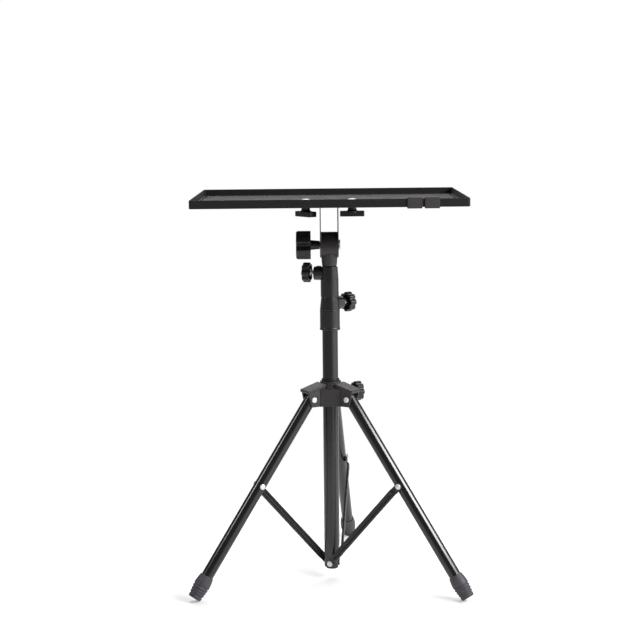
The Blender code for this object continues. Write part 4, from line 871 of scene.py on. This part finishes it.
def build_collar(node, sizes):
    """A turned collar with a seam round it, tapering to its top, and the boss of its clamp."""
    low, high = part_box(node)
    radius, boss_radius, drop = sizes["radius"], sizes["boss_radius"], sizes["lug_drop"]
    azimuth = CLAMPS[node.replace("collar", "clamp")][0]
    height = low.z + sizes["clamp_height"]
    profile = [(0.0, high.z), (sizes["top_radius"], high.z)] + seam_points(radius, low.z + sizes["seam"])
    if sizes["foot_bead"]:
        profile += [(radius, low.z + FOOT_BEAD_TOP), (radius + FOOT_BEAD_DEPTH, low.z + FOOT_BEAD_FOOT),
                    (radius + FOOT_BEAD_DEPTH, low.z)]
    else:
        profile += [(radius, low.z)]
    profile += [(0.0, low.z)]
    collar = moved(turned_solid(node, profile, COLLAR_EDGE, steps=3), at_mast())

    boss_profile = [(0.0, sizes["boss_reach"]), (boss_radius, sizes["boss_reach"]), (sizes["boss_root"], 0.0),
                    (0.0, 0.0)]
    bosses = []
    for boss_height in [height, height - drop] if drop else [height]:
        boss = turned_solid(node + "_boss", boss_profile, COLLAR_BOSS_EDGE)
        bosses.append(moved(boss, outward(boss_height, azimuth)))
    if drop:
        stop_top = boss_radius + LUG_STOP_RISE
        stop = prism(node + "_stop", rounded_rectangle(*LUG_STOP), 0.0, stop_top, COLLAR_BOSS_EDGE)
        bosses.append(moved(stop, at_mast(height, azimuth, LUG_STOP_REACH)))

    upper_bore, lower_bore = sizes["upper_bore"], sizes["lower_bore"]
    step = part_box(sizes["body"] + "_tube")[1].z + TOUCH_GAP
    bore = lathe(node + "_bore", [(0.0, high.z + CUT_PAST), (upper_bore, high.z + CUT_PAST), (upper_bore, step),
                                  (lower_bore, step), (lower_bore, low.z - CUT_PAST), (0.0, low.z - CUT_PAST)])
    way = rod(node + "_way", SCREW_BORE, 0.0, sizes["boss_reach"] * 2)
    mesh = cut(joined(collar, *bosses), moved(bore, at_mast()), moved(way, outward(height, azimuth)))
    piece("moulded_" + node, node, mesh, Matrix.Identity(4), sizes["body"], collar_plastic)


# Clamp screws and knobs

def threaded_rod(name, radius, foot, top):
    """A screw with a helical thread."""
    rows = int((top - foot) / THREAD_PITCH * THREAD_ROWS_PER_TURN)

    def row(height):
        def reach_at(angle):
            phase = (height / THREAD_PITCH - angle / (2 * pi)) % 1.0
            return radius - THREAD_DEPTH * abs(2 * phase - 1)
        return ring(height, reach_at, THREAD_SIDES)

    return loft(name, [row(foot + (top - foot) * k / rows) for k in range(rows + 1)])


def dish_cutter(name, face, rims):
    """A cutter for a shallow dish in a face, from its rims outside in."""
    profile = [(radius, face + shift) for radius, shift in rims]
    return lathe(name, [(0.0, profile[0][1])] + profile + [(0.0, profile[-1][1])])


def clamp_knob(name, back):
    """A lobed knob with a hollow back round its hub and a dished face."""
    face = back + KNOB_THICKNESS
    knob = stacked(name, [(z, lobed(KNOB_RADIUS - shift, KNOB_LOBES))
                          for z, shift in edge_levels(back, face, KNOB_EDGE)])
    cavity = lathe(name + "_cavity", [
        (KNOB_RIM_INSIDE + KNOB_MOUTH + CUT_PAST, back - CUT_PAST),
        (KNOB_RIM_INSIDE, back + KNOB_MOUTH),
        (KNOB_RIM_INSIDE, back + KNOB_HOLLOW),
        (KNOB_HUB + 0.0008, back + KNOB_HOLLOW),
        (KNOB_HUB + 0.0004, back - CUT_PAST),
    ], endless=True)
    bore = rod(name + "_bore", SCREW_BORE, back - CUT_PAST, face - KNOB_FACE_WALL)
    return cut(knob, cavity, bore, dish_cutter(name + "_dish", face, KNOB_DISH))


def build_clamps():
    for body, (azimuth, back, tube_radius) in CLAMPS.items():
        screw_node, knob_node = body + "_screw", body + "_knob"
        place = outward(middle(screw_node).z, azimuth)
        screw = threaded_rod(screw_node, SCREW_RADIUS, tube_radius + TOUCH_GAP, back + SCREW_IN_KNOB)
        piece("zinc_" + screw_node, screw_node, screw, place, body, zinc)
        piece("lobed_" + knob_node, knob_node, clamp_knob(knob_node, back), place, body, knob_plastic)


# Crown

def panel_azimuths():
    arms = sorted(LEG_AZIMUTHS.values())
    following = arms[1:] + [arms[0] + 360.0]
    return [(first + second) / 2 for first, second in zip(arms, following)]


def line_crossing(azimuth_a, reach_a, azimuth_b, reach_b):
    a, b = radians(azimuth_a), radians(azimuth_b)
    scale = sin(b - a)
    return ((reach_a * sin(b) - reach_b * sin(a)) / scale,
            (reach_b * cos(a) - reach_a * cos(b)) / scale)


def hub_outline():
    corner = (CHEEK_INSIDE + CHEEK_OUTSIDE) / 2
    points = []
    for arm, panel in zip(sorted(LEG_AZIMUTHS.values()), panel_azimuths()):
        following = panel + (panel - arm)
        points.append(line_crossing(arm + 90.0, corner, panel, CROWN_PANEL_REACH))
        points.append(line_crossing(panel, CROWN_PANEL_REACH, following - 90.0, corner))
    return points


def below_roof(reach, depth=0.0):
    """A point of an arm's outline, so far below the top of its sloping roof."""
    slope = BAND_DROP / (BAND_REACH - CROWN_RING_RADIUS)
    return reach, CROWN_TOP - BAND_BELOW_RING_TOP - slope * (reach - CROWN_RING_RADIUS) - depth


def upright_prism(name, outline, half_width, azimuth, edge):
    """A prism from an outline of reaches and heights, its width across the arm."""
    mesh = prism(name, outline, -half_width, half_width, edge)
    return moved(mesh, at_mast(azimuth=azimuth) @ ALONG)


def arm_shapes(side, azimuth):
    """The cheeks and the roof of an arm, and the cutter of the fork between the cheeks."""
    cheek_foot = CROWN_FOOT + TOUCH_GAP
    half = BAND_THICKNESS / 2
    cheeks = upright_prism("cheeks_" + side, rounded([
        (CHEEK_ROOT, cheek_foot),
        (CHEEK_FOOT_REACH, cheek_foot),
        (CHEEK_REACH, HINGE_HEIGHT + CHEEK_SHOULDER),
        below_roof(CHEEK_REACH, half),
        below_roof(CHEEK_ROOT, half),
    ], CHEEK_CORNER), CHEEK_OUTSIDE, azimuth, CHEEK_EDGE)
    roof = upright_prism("roof_" + side, rounded([
        below_roof(BAND_ROOT, BAND_THICKNESS),
        below_roof(BAND_REACH, BAND_THICKNESS),
        below_roof(BAND_REACH),
        below_roof(BAND_ROOT),
    ], BAND_CORNER), CHEEK_OUTSIDE + BAND_OVERHANG, azimuth, BAND_EDGE)
    clear = BAND_THICKNESS + TOUCH_GAP
    fork = upright_prism("fork_" + side, [
        (FORK_ROOT, CROWN_FOOT - CROWN_CUT_PAST),
        (BAND_REACH * 2, CROWN_FOOT - CROWN_CUT_PAST),
        below_roof(BAND_REACH * 2, clear),
        below_roof(FORK_ROOT, clear),
    ], CHEEK_INSIDE, azimuth, FORK_EDGE)
    return [cheeks, roof], fork


def build_crown():
    """The hub with its forked arms, as one moulding with rounded edges."""
    hub = prism("crown", rounded(hub_outline(), CROWN_CORNER), CROWN_FOOT, CROWN_PANEL_TOP, CROWN_EDGE)
    shoulder = turned_solid("crown_shoulder", [
        (0.0, CROWN_TOP),
        (CROWN_RING_RADIUS, CROWN_TOP),
        (CROWN_RING_RADIUS, CROWN_TOP - CROWN_RING_HEIGHT),
        (CROWN_PANEL_REACH - 0.0012, CROWN_PANEL_TOP - 0.0009),
        (0.0, CROWN_PANEL_TOP - 0.0025),
    ], CROWN_EDGE)
    boss_frame = outward(middle("crown_clamp_screw").z, CLAMPS["crown_clamp"][0])
    boss = turned_solid("crown_boss", CROWN_BOSS, CROWN_BOSS_EDGE)
    added = [moved(shoulder, at_mast()), moved(boss, boss_frame)]
    cutters = []
    for side, azimuth in LEG_AZIMUTHS.items():
        arm, fork = arm_shapes(side, azimuth)
        added += arm
        cutters.append(fork)
    foot, top = CROWN_FOOT - CROWN_CUT_PAST, CROWN_TOP + CROWN_CUT_PAST
    for azimuth in panel_azimuths():
        for sign in (-1, 1):
            groove = rod("crown_groove", GROOVE_RADIUS, foot, CROWN_PANEL_TOP + CROWN_CUT_PAST, FINE_SIDES)
            aside = shifted(y=sign * GROOVE_ASIDE)
            cutters.append(moved(groove, at_mast(0.0, azimuth, CROWN_PANEL_REACH) @ aside))
    cutters.append(moved(rod("crown_bore", CROWN_BORE, foot, top, SIDES), at_mast()))
    cutters.append(moved(rod("crown_way", SCREW_BORE, 0.0, CROWN_WAY_REACH), boss_frame))
    mesh = cut(joined(moved(hub, at_mast()), *added), *cutters)
    piece("moulded_crown", "crown", mesh, Matrix.Identity(4), "crown", moulding)

    low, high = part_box("crown_bush")
    lip_foot = CROWN_TOP + TOUCH_GAP
    profile = [(BUSH_LIP_RADIUS, high.z), (BUSH_LIP_RADIUS, lip_foot), (BUSH_RADIUS, lip_foot),
               (BUSH_RADIUS, low.z), (BUSH_BORE, low.z), (BUSH_BORE, high.z)]
    bush = lathe("crown_bush", rounded(profile, BUSH_EDGE), endless=True)
    piece("slide_bush", "crown_bush", bush, at_mast(), "crown", bush_plastic)


# Head

def neck(name, grown, top):
    """A round foot that grows front to back until it meets the barrel."""
    layers = []
    for level in range(NECK_LEVELS + 1):
        height = HEAD_FOOT + (top - HEAD_FOOT) * (level / NECK_LEVELS)
        share = min(1.0, (height - HEAD_FOOT) / NECK_RISE)
        widened = NECK_RADIUS + (HEAD_HALF_WIDTH - NECK_RADIUS) * share * NECK_WIDENING
        shrink = NECK_FOOT_EDGE if level == 0 else 0.0
        half_x = min(HEAD_HALF_WIDTH - 0.0001, widened) + grown - shrink
        half_y = NECK_RADIUS + (NECK_DEEP - NECK_RADIUS) * share + grown - shrink
        layers.append((height, [(half_x * cos(a), half_y * sin(a)) for a in angles_round(SIDES)]))
    return moved(stacked(name, layers), at_mast())


def build_head():
    """Two halves that meet in an arched line round the neck, as one moulding."""
    across = at_mast(PIVOT) @ ACROSS
    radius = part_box("head_block")[1].z - PIVOT
    profile = [(0.0, HEAD_HALF_WIDTH), (radius, HEAD_HALF_WIDTH), (radius, -HEAD_HALF_WIDTH),
               (0.0, -HEAD_HALF_WIDTH)]
    barrel = moved(turned_solid("head_block", profile, HEAD_EDGE), across)
    socket_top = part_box("head_post")[1].z + TOUCH_GAP
    socket = moved(rod("head_socket", HEAD_SOCKET, HEAD_FOOT - 0.005, socket_top, SIDES), at_mast())
    way = moved(rod("head_way", TILT_BOLT_BORE, -CROSS_CUT, CROSS_CUT), across)
    line = neck("head_line", HEAD_LINE, PIVOT - HEAD_LINE_BELOW_PIVOT)
    mesh = cut(joined(cut(barrel, line), neck("head_neck", 0.0, PIVOT)), socket, way)
    piece("moulded_head", "head_block", mesh, Matrix.Identity(4), "head", moulding)


def build_tilt_bolt():
    head_seat = EAR_OUTSIDE + TOUCH_GAP / 3
    low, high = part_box("tilt_bolt")
    bolt = rod("tilt_bolt", TILT_BOLT_RADIUS, low.x - MAST.x, head_seat + TILT_BOLT_IN_HEAD)
    hexagon = [(TILT_HEAD_RADIUS * cos(a), TILT_HEAD_RADIUS * sin(a)) for a in angles_round(6)]
    head = prism("tilt_bolt_head", rounded(hexagon, TILT_HEAD_CORNER), head_seat, high.x - MAST.x,
                 TILT_HEAD_EDGE)
    piece("zinc_tilt_bolt", "tilt_bolt", joined(bolt, head), at_mast(PIVOT) @ ACROSS, "tray", zinc)


def build_tilt_knob():
    """A winged knob on a long stem, with a dished face."""
    back, face = TILT_KNOB_BACK, TILT_KNOB_BACK + TILT_KNOB_LENGTH
    levels = [(back, 0.0005), (back + 0.0005, 0.0), (face - 0.0021, 0.0), (face, 0.0018)]
    knob = stacked("tilt_knob", [(z, lobed(TILT_KNOB_RADIUS - shift, TILT_KNOB_LOBES)) for z, shift in levels])
    stem_end = EAR_OUTSIDE + TOUCH_GAP
    stem = turned_solid("tilt_stem", [(0.0, back + 0.003), (0.0072, back + 0.003), (0.0072, back - 0.001),
                                      (0.0062, stem_end + 0.002), (0.0064, stem_end), (0.0, stem_end)],
                        TILT_STEM_EDGE)
    bore = rod("tilt_bore", TILT_BOLT_BORE, 0.0, back + TILT_KNOB_BORE)
    mesh = cut(joined(knob, stem), bore, dish_cutter("tilt_dish", face, TILT_KNOB_DISH))
    piece("winged_tilt_knob", "tilt_knob", mesh, at_mast(PIVOT) @ TO_LEFT, "tilt_knob", knob_plastic)


# Tray, its bracket and its fasteners

def build_bracket():
    low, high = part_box("tilt_bracket")
    half_x, half_y = (high.x - low.x) / 2, (high.y - low.y) / 2
    base = prism("tilt_bracket", rounded_rectangle(half_x, half_y, BRACKET_CORNER), high.z - BRACKET_SHEET,
                 high.z, BRACKET_EDGE)
    rise = high.z - BRACKET_SHEET / 2 - PIVOT
    outline = arc((0.0, 0.0), half_y, 180.0, 360.0, 49) + [(half_y, rise), (-half_y, rise)]
    half = EAR_THICKNESS / 2
    ears, holes = [], []
    for sign in (-1, 1):
        centre = sign * (EAR_OUTSIDE - half)
        ear = prism("ear", outline, centre - half, centre + half, EAR_EDGE)
        ears.append(moved(ear, shifted(z=PIVOT) @ SIDE_ON))
        holes.append(moved(rod("hole", SCREW_BORE, PIVOT, TRAY_HIGH.z), shifted(sign * BOLT_SPACING / 2)))
    way = moved(rod("way", TILT_BOLT_BORE, -CROSS_CUT, CROSS_CUT), shifted(z=PIVOT) @ ACROSS)
    mesh = cut(joined(base, *ears), way, *holes)
    piece("painted_bracket", "tilt_bracket", mesh, at_mast(), "tray", strut_paint)


def build_tray():
    """A folded pan: bent floor edges, upright rim, a narrow hem and welded corners."""
    half_x = (TRAY_HIGH.x - TRAY_LOW.x) / 2
    half_y = (TRAY_HIGH.y - TRAY_LOW.y) / 2
    rim = TRAY_HIGH.z - TRAY_LOW.z
    bend, sheet, hem, fold = TRAY_BEND, TRAY_SHEET, TRAY_HEM, -TRAY_FOLD
    bends = quarter_turn(4)[1:]
    width = TRAY_FOLD_WIDTH
    levels = [(width, 0.0), (width, fold * 0.7), (width - 0.0003, fold), (bend, fold)]
    levels += [(bend * (1 - sin(a)), fold + bend * (1 - cos(a))) for a in bends]
    levels += [(0.0, rim - hem), (hem * 0.3, rim - hem * 0.3), (hem, rim)]
    levels += [(sheet - hem * 0.3, rim - hem * 0.3), (sheet, rim - hem), (sheet, sheet + bend)]
    levels += [(sheet + bend * (1 - cos(a)), sheet + bend * (1 - sin(a))) for a in bends]
    pan = stacked("tray", [(height, rounded_rectangle(half_x - shift, half_y - shift,
                                                      max(TRAY_CORNER - shift, TRAY_LEAST_CORNER), 9))
                           for shift, height in levels])
    slot_reach = half_x - sheet - TRAY_SLOT_FROM_RIM
    to_mast = MAST - TRAY_MIDDLE
    cutters = []
    for sign in (-1, 1):
        slot = prism("slot", rounded_rectangle(*TRAY_SLOT), -0.005, 0.010, 0.0001)
        cutters.append(moved(slot, shifted(sign * slot_reach, TRAY_SLOT_BACK)))
        hole = rod("hole", SCREW_BORE, -0.010, 0.010)
        cutters.append(moved(hole, shifted(to_mast.x + sign * BOLT_SPACING / 2, to_mast.y)))
    place = shifted(TRAY_MIDDLE.x, TRAY_MIDDLE.y, TRAY_LOW.z)
    piece("folded_tray", "tray", cut(pan, *cutters), place, "tray", tray_paint)


def build_tray_fasteners():
    seat = TRAY_LOW.z + TRAY_SHEET + TOUCH_GAP / 3
    knob_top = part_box("tilt_bracket")[1].z - BRACKET_SHEET - TOUCH_GAP
    bar_top = knob_top - T_HUB_LENGTH
    hub_foot = bar_top - T_HUB_FLARE
    flared = T_HUB_RADIUS + T_HUB_FLARE
    for side, sign in (("left", -1), ("right", 1)):
        place = at_mast() @ shifted(sign * BOLT_SPACING / 2)
        bolt_node, knob_node = "tray_bolt_" + side, "t_knob_" + side
        low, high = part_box(bolt_node)
        radius = (high.x - low.x) / 2
        profile = [(radius * cos(a), seat + TRAY_BOLT_DOME * sin(a)) for a in reversed(quarter_turn(8))]
        profile[0] = (0.0, seat + TRAY_BOLT_DOME)
        profile += [(TRAY_BOLT_RADIUS, seat), (TRAY_BOLT_RADIUS, low.z), (0.0, low.z)]
        piece("zinc_" + bolt_node, bolt_node, lathe(bolt_node, profile, SMALL_SIDES), place, "tray", zinc)

        bar = prism("t_bar", rounded_rectangle(*T_BAR), bar_top - T_BAR_HEIGHT, bar_top, T_BAR_EDGE)
        fillet = arc((flared, bar_top + T_HUB_FLARE), T_HUB_FLARE, 180.0, 270.0, 10)
        hub = lathe("t_hub", [(0.0, knob_top), (T_HUB_RADIUS, knob_top)] + fillet
                    + [(flared, hub_foot), (0.0, hub_foot)])
        bore = rod("t_bore", SCREW_BORE, low.z - TOUCH_GAP, TRAY_HIGH.z)
        mesh = cut(joined(bar, hub), bore)
        place = place @ turned(T_KNOB_TURNS[side])
        piece("moulded_" + knob_node, knob_node, mesh, place, knob_node, knob_plastic)


def build_clips():
    """Bent clips that go round the rim, with a lip under the floor and a hook inside the rim."""
    outside = -(TOUCH_GAP + CLIP_WALL)
    inside = TRAY_SHEET + TOUCH_GAP
    foot = TRAY_LOW.z - TRAY_FOLD - TOUCH_GAP - CLIP_WALL
    top = TRAY_HIGH.z + TOUCH_GAP + CLIP_WALL
    below_top = top - CLIP_WALL
    outline = rounded([
        (outside, foot), (CLIP_LIP, foot), (CLIP_LIP, foot + CLIP_WALL), (-TOUCH_GAP, foot + CLIP_WALL),
        (-TOUCH_GAP, below_top), (inside, below_top), (inside, below_top - CLIP_HOOK),
        (inside + CLIP_WALL, below_top - CLIP_HOOK), (inside + CLIP_WALL, top), (outside, top),
    ], CLIP_CORNER, steps=3)
    for node in ("rim_clip_inner", "rim_clip_outer"):
        low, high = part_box(node)
        half = (high.x - low.x) / 2
        place = shifted((low.x + high.x) / 2, TRAY_LOW.y) @ SIDE_ON
        piece("moulded_" + node, node, prism(node, outline, -half, half, CLIP_EDGE), place, node, clip_plastic)


build_legs()
build_main_tube()
build_inner_tubes()
build_plug()
for collar_node, collar_sizes in COLLARS.items():
    build_collar(collar_node, collar_sizes)
build_clamps()
build_crown()
build_head()
build_tilt_bolt()
build_tilt_knob()
build_bracket()
build_tray()
build_tray_fasteners()
build_clips()


# Stage, light and camera

def ramp_from(tree, value, span, low, high):
    """A smooth step of a value, from low at the span's start to high at its end."""
    return add_node(tree, 'MapRange', [
        ("Value", value), ("From Min", span[0]), ("From Max", span[1]), ("To Min", low), ("To Max", high),
    ], "Result", interpolation_type='SMOOTHSTEP')


def build_floor():
    """A pale floor that keeps the shadow and fades into the white surround."""
    corners = [(x * FLOOR_SIZE, y * FLOOR_SIZE, 0.0) for x, y in ((-1, -1), (1, -1), (1, 1), (-1, 1))]
    mesh = bpy.data.meshes.new("floor")
    mesh.from_pydata(corners, [], [(0, 1, 2, 3)])
    floor = new_object("floor", mesh)
    material = bpy.data.materials.new("pale_floor")
    material.use_nodes = True
    tree = material.node_tree
    tree.nodes.remove(tree.nodes["Principled BSDF"])
    seen = add_node(tree, 'LightPath', output="Is Camera Ray")
    level = add_node(tree, 'Math', [(0, seen), (1, FLOOR_GLOW)], operation='MULTIPLY')
    glow = add_node(tree, 'Emission', [("Strength", level)])
    diffuse = add_node(tree, 'BsdfDiffuse', [("Color", (FLOOR_WHITE, FLOOR_WHITE, FLOOR_WHITE, 1.0))])
    near = add_node(tree, 'AddShader', [(0, diffuse), (1, glow)])
    place = add_node(tree, 'TexCoord', output="Object")
    reach = add_node(tree, 'VectorMath', [(0, place)], "Value", operation='LENGTH')
    fade = add_node(tree, 'Mix', [
        ("Factor", seen),
        ("A", ramp_from(tree, reach, FLOOR_FADE_UNSEEN, 0.0, 1.0)),
        ("B", ramp_from(tree, reach, FLOOR_FADE_SEEN, 0.0, 1.0))], "Result")
    clear = add_node(tree, 'BsdfTransparent')
    choose = add_node(tree, 'MixShader', [("Fac", fade), (1, near), (2, clear)])
    connect(tree, tree.nodes["Material Output"], [("Surface", choose)])
    mesh.materials.append(material)


def build_surround():
    """White for the camera; for the object a dim room, brighter at the right, the rear and below."""
    world = bpy.data.worlds.new("studio")
    bpy.context.scene.world = world
    world.use_nodes = True
    tree = world.node_tree
    backdrop = tree.nodes["Background"]
    connect(tree, backdrop, [("Color", (1.0, 1.0, 1.0, 1.0)), ("Strength", 1.0)])
    place = add_node(tree, 'TexCoord', output="Generated")
    toward = add_node(tree, 'VectorMath', [(0, place), (1, ROOM_RIGHT_TOWARD)], "Value",
                      operation='DOT_PRODUCT')
    parts = add_node(tree, 'SeparateXYZ', [(0, place)]).node.outputs
    level = ramp_from(tree, parts["Z"], ROOM_HEIGHT_SPAN, ROOM_LOW, ROOM_HIGH)
    for share in (
        ramp_from(tree, toward, ROOM_RIGHT_SPAN, 0.0, ROOM_RIGHT),
        ramp_from(tree, parts["Y"], ROOM_REAR_SPAN, 0.0, ROOM_REAR),
        ramp_from(tree, parts["Z"], ROOM_BELOW_SPAN, ROOM_BELOW, 0.0),
    ):
        level = add_node(tree, 'Math', [(0, level), (1, share)], operation='ADD')
    soft = add_node(tree, 'Background', [("Color", ROOM_TINT), ("Strength", level)])
    seen = add_node(tree, 'LightPath', output="Is Camera Ray")
    choose = add_node(tree, 'MixShader', [("Fac", seen), (1, soft), (2, backdrop.outputs[0])])
    connect(tree, tree.nodes["World Output"], [("Surface", choose)])


def softbox(name, place, width, height, radiance):
    """An area lamp by its radiance: power is pi times radiance times area."""
    data = bpy.data.lights.new(name, 'AREA')
    data.shape = 'RECTANGLE'
    data.size = width
    data.size_y = height
    data.energy = radiance * pi * width * height
    lamp = new_object(name, data)
    lamp.location = place
    lamp.rotation_mode = 'QUATERNION'
    lamp.rotation_quaternion = (Vector(LAMP_AIM) - Vector(place)).to_track_quat('-Z', 'Y')


def build_camera():
    data = bpy.data.cameras.new("camera")
    data.sensor_width = SENSOR
    data.lens = FOCAL_PIXELS / PICTURE_SIZE * SENSOR
    camera = new_object("camera", data)
    camera.matrix_world = shifted(*CAMERA_PLACE) @ turned(90.0 - CAMERA_PITCH, 'X') @ turned(-CAMERA_ROLL)
    bpy.context.scene.camera = camera


build_floor()
build_surround()
for lamp_name, lamp in LAMPS.items():
    softbox(lamp_name, *lamp)
build_camera()
bpy.context.scene.view_settings.view_transform = 'Standard'
